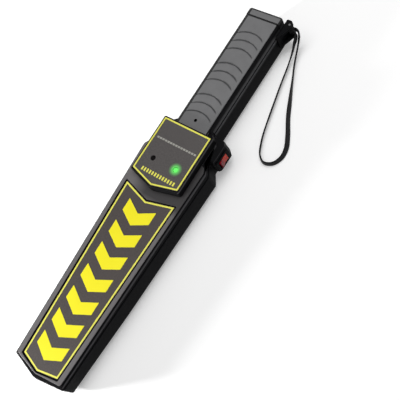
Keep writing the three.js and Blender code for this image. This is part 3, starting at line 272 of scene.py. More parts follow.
def wovenNylon():
    # dull black tape that reads as fine ribs across its width, drawn coarser than real so that they show
    # the ribs' light and dark colours are painted sheen and shade; the bump gives their relief
    material = newMaterial("wovenNylonTape")
    tape = addNode(material, "SeparateXYZ", [addNode(material, "UVMap", uv_map="tape")])
    turns = addNode(material, "Math", [tape.outputs["X"], 2 * math.pi / (tapeWeave["rib"] * mm)],
                    operation="MULTIPLY")
    wave = addNode(material, "Math", [turns], operation="SINE")
    rib = addNode(material, "MapRange", {"Value": wave, "From Min": -1.0, "From Max": 1.0})
    colour = addNode(material, "Mix", [rib, linear(tapeWeave["dark"]), linear(tapeWeave["light"])],
                     data_type="RGBA")
    bump = addNode(material, "Bump", {"Height": rib, "Strength": tapeWeave["strength"],
                                      "Distance": tapeWeave["relief"] * mm})
    return surfaced(material, {"Base Color": colour, "Normal": bump, "Roughness": 0.62,
                               "Sheen Weight": 0.06, "Specular IOR Level": 0.12})


nylon = wovenNylon()
strapSewnEnd = finishedCopy("strap_knot", "strapSewnEnd", nylon, edge=0.4)


def makeStrap():
    # the tape's section carried along the route: width upright, turned about the route by the lean
    route = [(strap["pin"][0] + x, strap["pin"][1] + y, z) for x, y, z in strap["route"]]
    line, length = splineThrough(route, strap["steps"])
    section = tapeSection(strap["width"], strap["thickness"], strap["edge"])
    tangent = np.gradient(line, axis=0)
    across = np.stack([tangent[:, 1], -tangent[:, 0], np.zeros(len(line))], axis=1)
    across /= np.linalg.norm(across, axis=1)[:, None]
    tangent /= np.linalg.norm(tangent, axis=1)[:, None]
    upright = np.cross(across, tangent)
    shares, angles = np.array(strap["lean"]).T
    place = np.linspace(0, 1, len(line))
    span = np.clip(np.searchsorted(shares, place, side="left"), 1, len(shares) - 1)
    ease = np.clip((place - shares[span - 1]) / (shares[span] - shares[span - 1]), 0, 1)
    ease = ease * ease * (3 - 2 * ease)
    lean = np.radians(angles[span - 1] + ease * (angles[span] - angles[span - 1]))[:, None]
    leanedAcross = across * np.cos(lean) + np.cross(tangent, across) * np.sin(lean)
    leanedUp = upright * np.cos(lean) + np.cross(tangent, upright) * np.sin(lean)
    rings = (line[:, None, :] + section[None, :, :1] * leanedAcross[:, None, :]
             + section[None, :, 1:] * leanedUp[:, None, :])
    count = len(section)
    faces = ringFaces(len(line), count)
    faces.append(list(range(count))[::-1])
    faces.append([(len(line) - 1) * count + j for j in range(count)])
    piece = meshPiece("strapTape", onWand(rings.reshape(-1, 3)), faces, nylon, "housing",
                      smooth=True)
    # metres along the tape in u, which carries the weave
    layer = piece.data.uv_layers.new(name="tape")
    loops = np.zeros(len(piece.data.loops), int)
    piece.data.loops.foreach_get("vertex_index", loops)
    along = np.repeat(np.linspace(0, length * mm, len(line)), count)
    layer.data.foreach_set("uv", np.stack([along[loops], (loops % count) * mm], axis=1).ravel())
    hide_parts("wrist_strap")


makeStrap()
print("strap laid")


# Moulded plastics; the blacks have low specular levels, because the photographed ones hardly shine
moulded = {"cloud": 30, "glossSpread": 0.07, "strength": 0.3, "relief": 0.05}
# painted side highlight: middle and half height, where it starts, how far to the side its wall must face
sideHighlightOnHandle = {"middle": 27.4, "half": 5.4, "even": 1.6, "start": 280, "sideways": 0.6,
                  "colour": "#5c5c5e"}
# painted highlight on edges: upward share of their normals, how far from it none and full, and where it ends
edgeHighlightOnRim = {"lean": 0.68, "none": 0.28, "full": 0.12, "right": 0.3, "end": 276, "colour": "#4a494b"}
# where the shade comes in along and across the wand, and the colour of faces less upright than this
shadedBezel = {"from": 189, "to": 197, "left": -24, "right": -6, "colour": "#292728", "upright": 0.5,
               "walls": "#18181a"}


def distance(material, measure, middle):
    # how far a measure lies from a middle, either way
    offset = addNode(material, "Math", [measure, middle], operation="SUBTRACT")
    return addNode(material, "Math", [offset], operation="ABSOLUTE")


def mouldPebble(material, place, grain):
    # the pebble that a spark-eroded mould leaves, and its bump; its grain in mm is drawn coarser than the
    # real one so that it shows
    pebble = addNode(material, "TexNoise", {"Vector": place, "Scale": 1 / (grain * mm)})
    bump = addNode(material, "Bump", {"Height": pebble, "Strength": moulded["strength"],
                                      "Distance": moulded["relief"] * mm})
    return pebble, bump


def paintSideHighlight(material, base, litStripe):
    # painted highlight: a paler stripe along both side walls of the handle, strongest at its middle height
    place = addNode(material, "SeparateXYZ", [addNode(material, "TexCoord").outputs["Object"]])
    away = distance(material, place.outputs["Z"], litStripe["middle"] * mm)
    near = addNode(material, "MapRange", {"Value": away, "From Min": litStripe["half"] * mm,
                                          "From Max": litStripe["even"] * mm}, interpolation_type="SMOOTHSTEP")
    start = onWand((0, litStripe["start"], 0))[1]
    onHandle = addNode(material, "Math", [place.outputs["Y"], start], operation="GREATER_THAN")
    facing = addNode(material, "SeparateXYZ", [addNode(material, "NewGeometry").outputs["Normal"]])
    sideways = distance(material, facing.outputs["X"], 0.0)
    onSide = addNode(material, "Math", [sideways, litStripe["sideways"]], operation="GREATER_THAN")
    onWall = addNode(material, "Math", [onHandle, onSide], operation="MULTIPLY")
    share = addNode(material, "Math", [near, onWall], operation="MULTIPLY")
    return addNode(material, "Mix", [share, base, linear(litStripe["colour"])], data_type="RGBA")


def paintEdgeHighlight(material, base, litEdge):
    # painted highlight on the right's bevels and chamfers, where their normal leans about halfway to upright
    facing = addNode(material, "SeparateXYZ", [addNode(material, "NewGeometry").outputs["Normal"]])
    away = distance(material, facing.outputs["Z"], litEdge["lean"])
    leaning = addNode(material, "MapRange", {"Value": away, "From Min": litEdge["none"],
                                             "From Max": litEdge["full"]})
    onRight = addNode(material, "Math", [facing.outputs["X"], litEdge["right"]], operation="GREATER_THAN")
    place = addNode(material, "SeparateXYZ", [addNode(material, "TexCoord").outputs["Object"]])
    end = onWand((0, litEdge["end"], 0))[1]
    beforeHandle = addNode(material, "Math", [place.outputs["Y"], end], operation="LESS_THAN")
    share = addNode(material, "Math", [leaning, onRight], operation="MULTIPLY")
    share = addNode(material, "Math", [share, beforeHandle], operation="MULTIPLY")
    return addNode(material, "Mix", [share, base, linear(litEdge["colour"])], data_type="RGBA")


def shadedEnd(material, base, shaded):
    # darker toward the butt, between two distances from the tip and clear of the left side; walls darkest
    # the darkening is painted shade: the control block's shadow, and shade on the walls
    place = addNode(material, "SeparateXYZ", [addNode(material, "TexCoord").outputs["Object"]])
    start, end = (onWand((0, shaded[key], 0))[1] for key in ("from", "to"))
    along = addNode(material, "MapRange", {"Value": place.outputs["Y"], "From Min": start, "From Max": end})
    left, right = (onWand((shaded[key], 0, 0))[0] for key in ("left", "right"))
    across = addNode(material, "MapRange", {"Value": place.outputs["X"], "From Min": left,
                                            "From Max": right})
    share = addNode(material, "Math", [along, across], operation="MULTIPLY")
    colour = addNode(material, "Mix", [share, base, linear(shaded["colour"])], data_type="RGBA")
    facing = addNode(material, "SeparateXYZ", [addNode(material, "NewGeometry").outputs["Normal"]])
    upright = distance(material, facing.outputs["Z"], 0.0)
    wall = addNode(material, "Math", [upright, shaded["upright"]], operation="LESS_THAN")
    return addNode(material, "Mix", [wall, colour, linear(shaded["walls"])], data_type="RGBA")


def mouldedPlastic(name, dark, light, grain, roughness, shine=0.5, touches=()):
    # thermoplastic from a mould: even colour and a fine pebble in the gloss; each touch then changes the
    # colour in one area
    material = newMaterial(name)
    place = addNode(material, "TexCoord").outputs["Object"]
    pebble, bump = mouldPebble(material, place, grain)
    cloud = addNode(material, "TexNoise", {"Vector": place, "Scale": 1 / (moulded["cloud"] * mm)})
    colour = addNode(material, "Mix", [cloud, linear(dark), linear(light)], data_type="RGBA")
    # each touch paints a highlight or a shade into the colour
    for touch, values in touches:
        colour = touch(material, colour, values)
    gloss = addNode(material, "MapRange", {"Value": pebble, "To Min": roughness - moulded["glossSpread"],
                                           "To Max": roughness + moulded["glossSpread"]})
    return surfaced(material, {"Base Color": colour, "Roughness": gloss, "Normal": bump,
                               "Specular IOR Level": shine})


# Grip and battery door
# painted groove shade: the apexes lie a step apart in groups; the dark reaches between thin and thick from
# each
gripGrooves = {"first": 290.35, "step": 9.8, "inGroup": 3, "group": 37.15, "groups": 3, "radius": 26,
               "half": 15.6, "fade": 3, "thin": 0.8, "thick": 1.9, "smear": 5, "smearLow": 0.3,
               "smearHigh": 0.7, "colour": "#303031"}
# the rim's colour is painted shade in the gap between the skin and the shell
gripRim = {"offset": 2.3, "inner": 17.3, "outer": 17.7, "end": 400.4, "colour": "#121213"}
gripSkin = {"dark": "#646465", "light": "#737374", "cloud": 9, "cloudDetail": 3, "pebble": 0.8}
doorFace = {"half": 17.1, "offset": 1.7, "start": 402.5, "end": 408.1, "height": 36.5, "upright": 0.8,
            "wall": "#0e0e0f", "dark": "#666667", "light": "#757576", "cloud": 12, "pebble": 0.8}


def gripPlastic():
    # moulded grey skin; painted shade darkens it unevenly along each curved groove and round its rim
    grooves, rim, skin = gripGrooves, gripRim, gripSkin
    material = newMaterial("greyGripAbs")
    place = addNode(material, "TexCoord").outputs["Object"]
    axes = addNode(material, "SeparateXYZ", [place])
    # run = y + r - root(r2 - x2) - start: how far past the start the arc through the point has its apex
    x = addNode(material, "Math", [axes.outputs["X"], onWand((0, 0, 0))[0]], operation="SUBTRACT")
    radius = grooves["radius"] * mm
    square = addNode(material, "Math", [x, x], operation="MULTIPLY")
    left = addNode(material, "Math", [radius ** 2, square], operation="SUBTRACT")
    root = addNode(material, "Math", [left], operation="SQRT")
    drop = addNode(material, "Math", [radius, root], operation="SUBTRACT")
    apex = addNode(material, "Math", [axes.outputs["Y"], drop], operation="ADD")
    start = onWand((0, grooves["first"] - grooves["step"] / 2, 0))[1]
    run = addNode(material, "Math", [apex, start], operation="SUBTRACT")
    # each group holds some grooves, one step apart, and a plain stretch
    inGroup = addNode(material, "Math", [run, grooves["group"] * mm], operation="MODULO")
    grooved = addNode(material, "Math", [inGroup, grooves["step"] * grooves["inGroup"] * mm],
                      operation="LESS_THAN")
    inside = addNode(material, "Math", [run, grooves["group"] * grooves["groups"] * mm],
                     operation="LESS_THAN")
    grooved = addNode(material, "Math", [grooved, inside], operation="MULTIPLY")
    inStep = addNode(material, "Math", [inGroup, grooves["step"] * mm], operation="MODULO")
    away = distance(material, inStep, grooves["step"] / 2 * mm)
    smear = addNode(material, "TexNoise", {"Vector": place, "Scale": 1 / (grooves["smear"] * mm)})
    reach = addNode(material, "MapRange", {
        "Value": smear, "From Min": grooves["smearLow"], "From Max": grooves["smearHigh"],
        "To Min": grooves["thin"] * mm, "To Max": grooves["thick"] * mm})
    far = addNode(material, "Math", [away, reach], operation="DIVIDE")
    near = addNode(material, "Math", [1.0, far], operation="SUBTRACT", use_clamp=True)
    sideways = distance(material, x, 0.0)
    faded = addNode(material, "MapRange", {"Value": sideways, "From Min": grooves["half"] * mm,
                                           "From Max": (grooves["half"] - grooves["fade"]) * mm})
    share = addNode(material, "Math", [near, grooved], operation="MULTIPLY")
    share = addNode(material, "Math", [share, faded], operation="MULTIPLY")
    # the rim, in painted shade: both long edges, measured from the skin's own middle, and the end at the
    # butt
    aside = distance(material, x, rim["offset"] * mm)
    edge = addNode(material, "MapRange", {"Value": aside, "From Min": rim["inner"] * mm,
                                          "From Max": rim["outer"] * mm})
    ending = addNode(material, "Math", [axes.outputs["Y"], onWand((0, rim["end"], 0))[1]],
                     operation="GREATER_THAN")
    onRim = addNode(material, "Math", [edge, ending], operation="MAXIMUM")
    cloud = addNode(material, "TexNoise", {"Vector": place, "Scale": 1 / (skin["cloud"] * mm),
                                           "Detail": skin["cloudDetail"]})
    grey = addNode(material, "Mix", [cloud, linear(skin["dark"]), linear(skin["light"])], data_type="RGBA")
    colour = addNode(material, "Mix", [share, grey, linear(grooves["colour"])], data_type="RGBA")
    colour = addNode(material, "Mix", [onRim, colour, linear(rim["colour"])], data_type="RGBA")
    bump = mouldPebble(material, place, skin["pebble"])[1]
    return surfaced(material, {"Base Color": colour, "Normal": bump, "Roughness": 0.5,
                               "Specular IOR Level": 0.3})


def doorPlastic():
    # the door is moulded black; its raised cap carries the grip's grey skin
    material = newMaterial("doorTwoToneAbs")
    place = addNode(material, "TexCoord").outputs["Object"]
    axes = addNode(material, "SeparateXYZ", [place])
    facing = addNode(material, "SeparateXYZ", [addNode(material, "NewGeometry").outputs["Normal"]])
    aside = distance(material, axes.outputs["X"], onWand((doorFace["offset"], 0, 0))[0])
    start, end = (onWand((0, doorFace[key], 0))[1] for key in ("start", "end"))
    onTop = 1.0
    for measure, operation, limit in [
            (axes.outputs["Z"], "GREATER_THAN", doorFace["height"] * mm),
            (facing.outputs["Z"], "GREATER_THAN", doorFace["upright"]),
            (aside, "LESS_THAN", doorFace["half"] * mm),
            (axes.outputs["Y"], "LESS_THAN", end),
            (axes.outputs["Y"], "GREATER_THAN", start)]:
        within = addNode(material, "Math", [measure, limit], operation=operation)
        onTop = addNode(material, "Math", [onTop, within], operation="MULTIPLY")
    cloud = addNode(material, "TexNoise", {"Vector": place, "Scale": 1 / (doorFace["cloud"] * mm)})
    grey = addNode(material, "Mix", [cloud, linear(doorFace["dark"]), linear(doorFace["light"])],
                   data_type="RGBA")
    # the black walls carry the painted side highlight
    black = paintSideHighlight(material, linear(doorFace["wall"]), sideHighlightOnHandle)
    colour = addNode(material, "Mix", [onTop, black, grey], data_type="RGBA")
    bump = mouldPebble(material, place, doorFace["pebble"])[1]
    return surfaced(material, {"Base Color": colour, "Normal": bump, "Roughness": 0.5,
                               "Specular IOR Level": 0.25})


# Rocker key and lamps
# painted light through the key: where it runs from crimson to orange, and the colours
rockerKey = {"start": 258.5, "end": 265.5, "cloud": 4, "cloudDetail": 1, "shift": 9,
             "dark": "#7a0a1c", "light": "#cf2c10"}
# painted shade at the lens rim: how far it reaches with the viewing angle, and its colour
lampLens = {"rim": 0.35, "rimColour": "#050805"}


def rockerPlastic(key):
    # polished translucent red key: painted light through it turns it crimson to orange toward the butt
    material = newMaterial("polishedRedRocker")
    place = addNode(material, "TexCoord").outputs["Object"]
    axes = addNode(material, "SeparateXYZ", [place])
    # share = (y - start) / (end - start), with y shifted by a soft cloud
    cloud = addNode(material, "TexNoise", {"Vector": place, "Scale": 1 / (key["cloud"] * mm),
                                           "Detail": key["cloudDetail"]})
    shift = addNode(material, "MapRange", {"Value": cloud, "To Min": -key["shift"] / 2 * mm,
                                           "To Max": key["shift"] / 2 * mm})
    shifted = addNode(material, "Math", [axes.outputs["Y"], shift], operation="ADD")
    start, end = (onWand((0, key[side], 0))[1] for side in ("start", "end"))
    share = addNode(material, "MapRange", {"Value": shifted, "From Min": start, "From Max": end})
    colour = addNode(material, "Mix", [share, linear(key["dark"]), linear(key["light"])], data_type="RGBA")
    return surfaced(material, {"Base Color": colour, "Roughness": 0.22, "Specular IOR Level": 0.14})


def lensEpoxy(name, colour, glow, strength, shine):
    # tinted epoxy lamp lens: smooth, darker at its rim by painted shade, lit from inside when its lamp is on
    material = newMaterial(name)
    facing = addNode(material, "LayerWeight", {"Blend": lampLens["rim"]})
    shade = addNode(material, "Mix", [facing.outputs["Facing"], linear(colour),
                                      linear(lampLens["rimColour"])], data_type="RGBA")
    return surfaced(material, {"Base Color": shade, "Roughness": 0.3, "Specular IOR Level": shine,
                               "Emission Color": linear(glow), "Emission Strength": strength})


# Label films
filmGrain = {"size": 1.1, "detail": 3.0, "rough": 0.7, "low": 0.35, "high": 0.65}
# painted glow of the lit green lamp on the panel film: its place, core and reach, fade and strength
lampGlow = {"place": (14, 229, 0), "core": 2.5, "reach": 7.4, "fade": 1.7, "strength": 0.85,
            "colour": "#58f05a"}


def labelFilm(name, dark, light, glow=None):
    # printed polyester film with a matt grain, drawn coarser than real so that it shows; round a lit lamp
    # the film carries a painted glow of its light
    material = newMaterial(name)
    place = addNode(material, "TexCoord").outputs["Object"]
    grain = addNode(material, "TexNoise", {"Vector": place, "Scale": 1 / (filmGrain["size"] * mm),
                                           "Detail": filmGrain["detail"], "Roughness": filmGrain["rough"]})
    share = addNode(material, "MapRange", {"Value": grain, "From Min": filmGrain["low"],
                                           "From Max": filmGrain["high"]})
    colour = addNode(material, "Mix", [share, linear(dark), linear(light)], data_type="RGBA")
    look = {"Base Color": colour, "Roughness": 0.48, "Specular IOR Level": 0.3}
    if glow:
        away = addNode(material, "VectorMath", [place, onWand(glow["place"])], operation="SUBTRACT")
        flat = addNode(material, "VectorMath", [away, (1, 1, 0)], operation="MULTIPLY")
        far = addNode(material, "VectorMath", [flat], operation="LENGTH")
        near = addNode(material, "MapRange", {"Value": far, "From Min": glow["reach"] * mm,
                                              "From Max": glow["core"] * mm})
        soft = addNode(material, "Math", [near, glow["fade"]], operation="POWER")
        lit = addNode(material, "Math", [soft, glow["strength"]], operation="MULTIPLY")
        look.update({"Emission Color": linear(glow["colour"]), "Emission Strength": lit})
    return surfaced(material, look)


# Metals and the board, mostly inside
metalGrain = {"detail": 4.0, "smoother": 0.08, "rougher": 0.1, "paleShare": 0.2}
board = {"mask": ("#15532d", "#1a5f34"), "run": "#2c8049", "tile": 16, "runWidth": 0.05, "length": 0.4,
         "width": 0.17}
copper = {"wire": 0.6, "relief": 0.15, "strength": 0.6, "groove": "#8f4a20", "ridge": "#c77a42"}
jacket = {"bandEnd": 358, "scuff": 4, "dark": "#22304a", "light": "#2b3c5c", "band": "#b9bbbe"}


def platedMetal(name, colour, roughness, grain):
    # metal with a fine even grain that varies its gloss and its tone
    material = newMaterial(name)
    fleck = addNode(material, "TexNoise", {
        "Vector": addNode(material, "TexCoord").outputs["Object"], "Scale": 1 / (grain * mm),
        "Detail": metalGrain["detail"]})
    gloss = addNode(material, "MapRange", {"Value": fleck, "To Min": roughness - metalGrain["smoother"],
                                           "To Max": roughness + metalGrain["rougher"]})
    pale = addNode(material, "Mix", [fleck, linear(colour), linear("#ffffff")], data_type="RGBA")
    tone = addNode(material, "Mix", [metalGrain["paleShare"], linear(colour), pale], data_type="RGBA")
    return surfaced(material, {"Base Color": tone, "Roughness": gloss, "Metallic": 1.0})


def boardLaminate():
    # glass laminate under green solder mask, with copper runs showing through as paler lines
    material = newMaterial("greenBoardLaminate")
    runs = addNode(material, "TexBrick", {
        "Vector": addNode(material, "TexCoord").outputs["Object"],
        "Color1": linear(board["mask"][0]), "Color2": linear(board["mask"][1]),
        "Mortar": linear(board["run"]), "Mortar Size": board["runWidth"],
        "Scale": 1 / (board["tile"] * mm), "Brick Width": board["length"], "Row Height": board["width"]})
    return surfaced(material, {"Base Color": runs, "Roughness": 0.32})


def woundCopper():
    # enamelled wire wound side by side, drawn thicker than real so that its bright ridges show
    # the ridges' brightness and the grooves' darkness are painted highlight and shade
    material = newMaterial("enamelledCopperWinding")
    axes = addNode(material, "SeparateXYZ", [addNode(material, "TexCoord").outputs["Object"]])
    turns = addNode(material, "Math", [axes.outputs["Z"], 2 * math.pi / (copper["wire"] * mm)],
                    operation="MULTIPLY")
    wave = addNode(material, "Math", [turns], operation="SINE")
    ridge = addNode(material, "MapRange", {"Value": wave, "From Min": -1.0, "From Max": 1.0})
    colour = addNode(material, "Mix", [ridge, linear(copper["groove"]), linear(copper["ridge"])],
                     data_type="RGBA")
    bump = addNode(material, "Bump", {"Height": ridge, "Strength": copper["strength"],
                                      "Distance": copper["relief"] * mm})
    return surfaced(material, {"Base Color": colour, "Normal": bump, "Metallic": 0.85, "Roughness": 0.35})


def batteryJacket():
    # printed steel can: dark jacket with a pale band at the terminal end
    material = newMaterial("printedBatteryCan")
    place = addNode(material, "TexCoord").outputs["Object"]
    axes = addNode(material, "SeparateXYZ", [place])
    onBand = addNode(material, "Math", [axes.outputs["Y"], onWand((0, jacket["bandEnd"], 0))[1]],
                     operation="LESS_THAN")
    scuff = addNode(material, "TexNoise", {"Vector": place, "Scale": 1 / (jacket["scuff"] * mm)})
    dark = addNode(material, "Mix", [scuff, linear(jacket["dark"]), linear(jacket["light"])],
                   data_type="RGBA")
    colour = addNode(material, "Mix", [onBand, dark, linear(jacket["band"])], data_type="RGBA")
    return surfaced(material, {"Base Color": colour, "Metallic": 0.5, "Roughness": 0.32})


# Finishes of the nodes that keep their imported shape; grains are in mm
steel = platedMetal("nickelPlatedSteel", "#a9abad", roughness=0.3, grain=0.5)
darkSteel = platedMetal("blackenedScrewSteel", "#44464a", roughness=0.38, grain=0.5)
pinSteel = platedMetal("blackOxidePinSteel", "#131416", roughness=0.5, grain=0.5)
brass = platedMetal("springBrassStrip", "#c9b27a", roughness=0.3, grain=0.6)
sintered = platedMetal("sinteredMagnetMetal", "#77797d", roughness=0.5, grain=0.3)
epoxy = mouldedPlastic("mouldedChipEpoxy", "#101011", "#18181a", grain=0.3, roughness=0.5)
sleeve = mouldedPlastic("shrinkSleeveBlue", "#1c2744", "#27355a", grain=1.5, roughness=0.3)
trimmerBlue = mouldedPlastic("trimmerBlueNylon", "#23468e", "#2d54a4", grain=0.5, roughness=0.4)
ivory = mouldedPlastic("ivoryMouldedNylon", "#d2cdbd", "#dedacb", grain=0.6, roughness=0.5)
conePaper = mouldedPlastic("pressedConePaper", "#151515", "#222120", grain=0.4, roughness=0.9, shine=0.1)
redLead = mouldedPlastic("redLeadSleeve", "#9c2a20", "#b03a2e", grain=1.2, roughness=0.4)
blackLead = mouldedPlastic("blackLeadSleeve", "#141416", "#1f1f22", grain=1.2, roughness=0.4)
finishes = [
    (labelFilm("charcoalPaddleFilm", "#36302f", "#433c39"), ["paddle_label"]),
    (labelFilm("charcoalPanelFilm", "#3d3a39", "#4e4a49", lampGlow), ["control_label"]),
    (batteryJacket(), ["battery_case"]),
    (boardLaminate(), ["main_board", "contact_plate"]),
    (woundCopper(), ["search_coil"]),
    (brass, ["contact_positive", "contact_negative", "switch_terminal_left", "switch_terminal_right"]),
    (epoxy, ["processor_chip", "amplifier_chip"]),
    (sleeve, ["capacitor_left", "capacitor_right"]),
    (trimmerBlue, ["trimmer_body"]),
    (ivory, ["trimmer_rotor", "coil_former"]),
    (conePaper, ["speaker_cone"]),
    (sintered, ["speaker_magnet", "motor_weight"]),
    (pinSteel, ["strap_pin"]),
    (darkSteel, [name for name in nodes if name.startswith("housing_screw")]),
    (steel, ["battery_stud_small", "battery_stud_large", "speaker_frame", "motor_body", "switch_pin"]),
    (steel, [name for name in nodes if name.startswith("board_screw")]),
    (redLead, [name for name in nodes if name.endswith("lead_left")]),
    (blackLead, [name for name in nodes if name.endswith("lead_right")]),
]
for material, names in finishes:
    for name in names:
        slot = nodes[name].material_slots[0]
        slot.link = "OBJECT"
        slot.material = material
print("finishes given")


# Mouldings with rounded edges
# the blacks carry a painted highlight along the handle's side walls
blackAbs = mouldedPlastic("blackMouldedAbs", "#141415", "#19191b", grain=0.7, roughness=0.45, shine=0.015,
                          touches=[(paintSideHighlight, sideHighlightOnHandle)])
# the cover also carries a painted highlight on its right-hand bevels and chamfers
coverAbs = mouldedPlastic("blackCoverAbs", "#151516", "#1a1a1c", grain=0.7, roughness=0.45, shine=0.015,
                          touches=[(paintSideHighlight, sideHighlightOnHandle), (paintEdgeHighlight, edgeHighlightOnRim)])
# the bezel carries painted shade: the control block's shadow toward the butt, and on its walls
bezelAbs = mouldedPlastic("greyBezelAbs", "#5a5758", "#666364", grain=0.6, roughness=0.42, shine=0.3,
                          touches=[(shadedEnd, shadedBezel)])
lugAbs = mouldedPlastic("blackAcetalLug", "#131314", "#19191b", grain=0.7, roughness=0.4, shine=0.02)
greenLens = lensEpoxy("litGreenLens", "#2f9a38", glow="#6cf768", strength=0.8, shine=0.3)
darkLens = lensEpoxy("unlitSmokedLens", "#0b0708", glow="#000000", strength=0.0, shine=0.03)
finishedCopy("back_shell", "backShellMoulding", blackAbs)
finishedCopy("front_shell", "frontShellMoulding", coverAbs, edge=0.4)
finishedCopy("paddle_frame", "paddleBezel", bezelAbs, edge=0.12)
finishedCopy("grip_skin", "gripCover", gripPlastic(), edge=0.2)
finishedCopy("battery_door", "batteryDoorCap", doorPlastic(), body="battery_door")
finishedCopy("strap_lug", "strapLugEar", lugAbs, edge=0.3)
finishedCopy("switch_housing", "switchBezel", blackAbs, edge=0.3)
finishedCopy("switch_rocker", "powerRocker", rockerPlastic(rockerKey), edge=0.4,
             body="switch_key")
finishedCopy("led_green", "greenLampLens", greenLens, edge=0.15)
finishedCopy("led_red", "smokedLampLens", darkLens, edge=0.15)
print("mouldings finished")


# Screen print on the two label films; each outline's right half is given, from the tip toward the butt
inkYellow = mouldedPlastic("screenInkYellow", "#f0e41c", "#f8ee2a", grain=0.9, roughness=0.5, shine=0.2)
inkLine = mouldedPlastic("screenInkPaleYellow", "#e4df55", "#edea68", grain=0.9, roughness=0.5, shine=0.2)
inkPale = mouldedPlastic("screenInkPale", "#8f8e88", "#a5a49c", grain=0.9, roughness=0.45, shine=0.3)
inkHeight = 0.1
paddlePrint = {
    "lineWidth": 1.6,
    "inset": 0.45,
    "outline": [(0, 6.9), (23.2, 12.9), (30.4, 199.1), (0, 190.9)],
    "chevrons": 7,
    "firstChevron": 29.6,
    "pitch": 24.2,
    "halfSpan": 16.8,
    "rise": 9.0,
    "stroke": 13.0,
}
panelPrint = {
    "lineWidth": 1.5,
    "inset": 0.4,
    "outline": [(0, 205), (28.3, 212.2), (28.3, 270.5)],
    "marks": {"y": 215.9, "span": (-17.8, 20.9), "count": 13, "height": 3.8, "fill": 0.55},
    "scale": {"y": 249.6, "span": (-22, 23), "count": 15, "height": 1.9, "fill": 0.75},
}


def filmTop(node):
    # the film's upper face: its middle plane fitted as z = a + b y, raised by half its thickness
    points = np.array([corner.co for corner in nodes[node].data.vertices])
    slope, height = np.polyfit(points[:, 1], points[:, 2], 1)
    spread = np.abs(points[:, 2] - height - slope * points[:, 1]).mean()
    return lambda xy: height + slope * xy[..., 1] + spread


def mitred(points, width, closed):
    # at each corner, the half-width offset that keeps the line's width on both sides of the corner
    p = np.asarray(points, float)
    ahead = np.roll(p, -1, axis=0) - p
    if not closed:
        ahead[-1] = ahead[-2]
    ahead /= np.linalg.norm(ahead, axis=1)[:, None]
    behind = np.roll(ahead, 1, axis=0)
    if not closed:
        behind[0] = ahead[0]
    normals = [np.stack([-way[:, 1], way[:, 0]], axis=1) for way in (behind, ahead)]
    both = normals[0] + normals[1]
    reach = 1 + (normals[0] * normals[1]).sum(axis=1)
    return both / reach[:, None] * width / 2


def inkSolid(points, offset, closed, top):
    # a thin raised band: at each point, four corners left and right of the path, over and under the film
    p = np.asarray(points, float)
    sides = onWand(np.pad(np.stack([p + offset, p - offset], axis=1), ((0, 0), (0, 0), (0, 1))))
    upper, lower = sides.copy(), sides.copy()
    upper[..., 2] = top(sides[..., :2]) + inkHeight * mm
    lower[..., 2] = top(sides[..., :2]) - inkHeight * mm
    rings = np.stack([upper[:, 0], upper[:, 1], lower[:, 1], lower[:, 0]], axis=1)
    faces = ringFaces(len(p), 4, closedRows=closed)
    if not closed:
        last = 4 * (len(p) - 1)
        faces += [[3, 2, 1, 0], [last, last + 1, last + 2, last + 3]]
    return rings.reshape(-1, 3), faces


def inkPiece(name, bands, material):
    # several closed bands in one mesh, each with its faces turned outwards
    vertices, faces = [], []
    for points, found in bands:
        start = sum(len(part) for part in vertices)
        vertices.append(points)
        faces += [[start + i for i in face] for face in found]
    piece = meshPiece(name, np.vstack(vertices), faces, material, "housing")
    shape = bmesh.new()
    shape.from_mesh(piece.data)
    bmesh.ops.recalc_face_normals(shape, faces=shape.faces)
    shape.to_mesh(piece.data)
    shape.free()


def borderBand(printed, top):
    # the line runs inside the film's edge, at the inset from it, round both halves of the outline
    half, width = printed["outline"], printed["lineWidth"]
    p = np.array(half + [(-x, y) for x, y in reversed(half) if x > 0], float)
    inward = mitred(p, width + 2 * printed["inset"], True)
    centre = p.mean(axis=0)
    if ((p[0] + inward[0] - centre) ** 2).sum() > ((p[0] - inward[0] - centre) ** 2).sum():
        inward = -inward
    path = p + inward
    return inkSolid(path, mitred(path, width, True), True, top)


def markRow(row, top):
    # short bars in a row: even places, each bar filling its share of the place
    x = np.linspace(*row["span"], row["count"])
    half = np.array([(x[1] - x[0]) * row["fill"] / 2, 0.0])
    low, high = row["y"] - row["height"] / 2, row["y"] + row["height"] / 2
    return [inkSolid([(at, low), (at, high)], half, False, top) for at in x]


def printPaddle():
    # the border line, and a column of even chevrons that point to the tip
    film = filmTop("paddle_label")
    bands = []
    half, rise = paddlePrint["halfSpan"], paddlePrint["rise"] / 2
    for i in range(paddlePrint["chevrons"]):
        y = paddlePrint["firstChevron"] + i * paddlePrint["pitch"]
        path = [(-half, y + rise), (0, y - rise), (half, y + rise)]
        bands.append(inkSolid(path, np.array([0.0, paddlePrint["stroke"] / 2]), False, film))
    inkPiece("paddleLine", [borderBand(paddlePrint, film)], inkLine)
    inkPiece("paddleChevrons", bands, inkYellow)


def printPanel():
    # the border line, a row of marks near its pointed end and a finer scale beyond the lamps
    film = filmTop("control_label")
    inkPiece("panelLine", [borderBand(panelPrint, film)], inkLine)
    inkPiece("panelMarks", markRow(panelPrint["marks"], film), inkLine)
    inkPiece("panelScale", markRow(panelPrint["scale"], film), inkPale)


printPaddle()
printPanel()
print("labels printed")


# Floor and light: a broad even window light, a low key beyond the tip and a high fill beyond the butt.
# Sizes and lifts' distances are in metres, places and the window's way in the wand's millimetres.
studio = {
    "floorSize": 6.0,
    "paper": "#f6f6f6",
    "worldLight": 0.2,
    "windowLight": 0.5,
    "windowAngle": 40,
    "windowWay": (200, 180, -960),
    "nearLift": 0.3,
    "farLift": 0.75,
    "liftStarts": 0.3,
    "liftEnds": 1.3,
}
softBoxes = {
    "keyLight": {"place": (-400, -350, 185), "target": (0, 50, 0), "size": 0.1, "watts": 6.5},
    "fillLight": {"place": (80, 570, 800), "target": (0, 330, 0), "size": 0.5, "watts": 2.8},
}


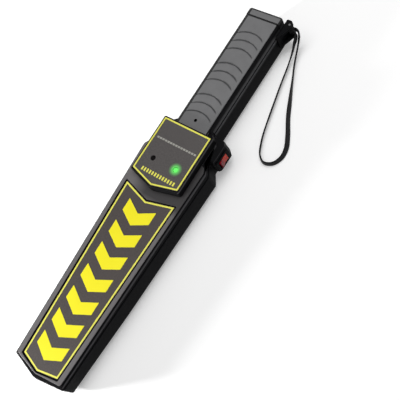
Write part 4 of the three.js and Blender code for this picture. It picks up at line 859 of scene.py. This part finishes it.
def seenDirectly(owner):
    # 1 for rays from the camera, and for those mirrored or refracted before they reach it
    path = addNode(owner, "LightPath")
    first = addNode(owner, "Math", [path.outputs["Is Camera Ray"], path.outputs["Is Glossy Ray"]],
                    operation="MAXIMUM")
    return addNode(owner, "Math", [first, path.outputs["Is Transmission Ray"]], operation="MAXIMUM")


def whitePaper():
    # matt white paper that looks evenly white: away from the lamps it is lifted more
    material = newMaterial("whitePaperSweep")
    place = addNode(material, "TexCoord").outputs["Object"]
    away = addNode(material, "VectorMath", [place], operation="LENGTH")
    evenness = addNode(material, "MapRange", {
        "Value": away, "From Min": studio["liftStarts"], "From Max": studio["liftEnds"],
        "To Min": studio["nearLift"], "To Max": studio["farLift"]})
    lift = addNode(material, "Math", [seenDirectly(material), evenness], operation="MULTIPLY")
    return surfaced(material, {"Base Color": linear(studio["paper"]), "Roughness": 0.9,
                               "Specular IOR Level": 0.0, "Emission Color": linear("#ffffff"),
                               "Emission Strength": lift})


floorMesh = bpy.data.meshes.new("floor")
half = studio["floorSize"] / 2
floorMesh.from_pydata([(-half, -half, 0), (half, -half, 0), (half, half, 0), (-half, half, 0)], [],
                      [(0, 1, 2, 3)])
floorMesh.materials.append(whitePaper())
addObject("floor", floorMesh)

world = bpy.data.worlds.new("studio")
bpy.context.scene.world = world
world.use_nodes = True
world.node_tree.nodes.clear()
brightness = addNode(world, "MapRange", {"Value": seenDirectly(world), "To Min": studio["worldLight"]})
sky = addNode(world, "Background", {"Color": linear("#ffffff"), "Strength": brightness})
addNode(world, "OutputWorld", {"Surface": sky})

windowData = bpy.data.lights.new("windowLight", "SUN")
windowData.energy = studio["windowLight"]
windowData.angle = math.radians(studio["windowAngle"])
addObject("windowLight", windowData).matrix_world = aimed((0, 0, 0), studio["windowWay"])
for name, box in softBoxes.items():
    lamp = bpy.data.lights.new(name, "AREA")
    lamp.size = box["size"]
    lamp.energy = box["watts"]
    addObject(name, lamp).matrix_world = aimed(box["place"], box["target"])
bpy.context.scene.view_settings.view_transform = "Standard"
print("lights set")
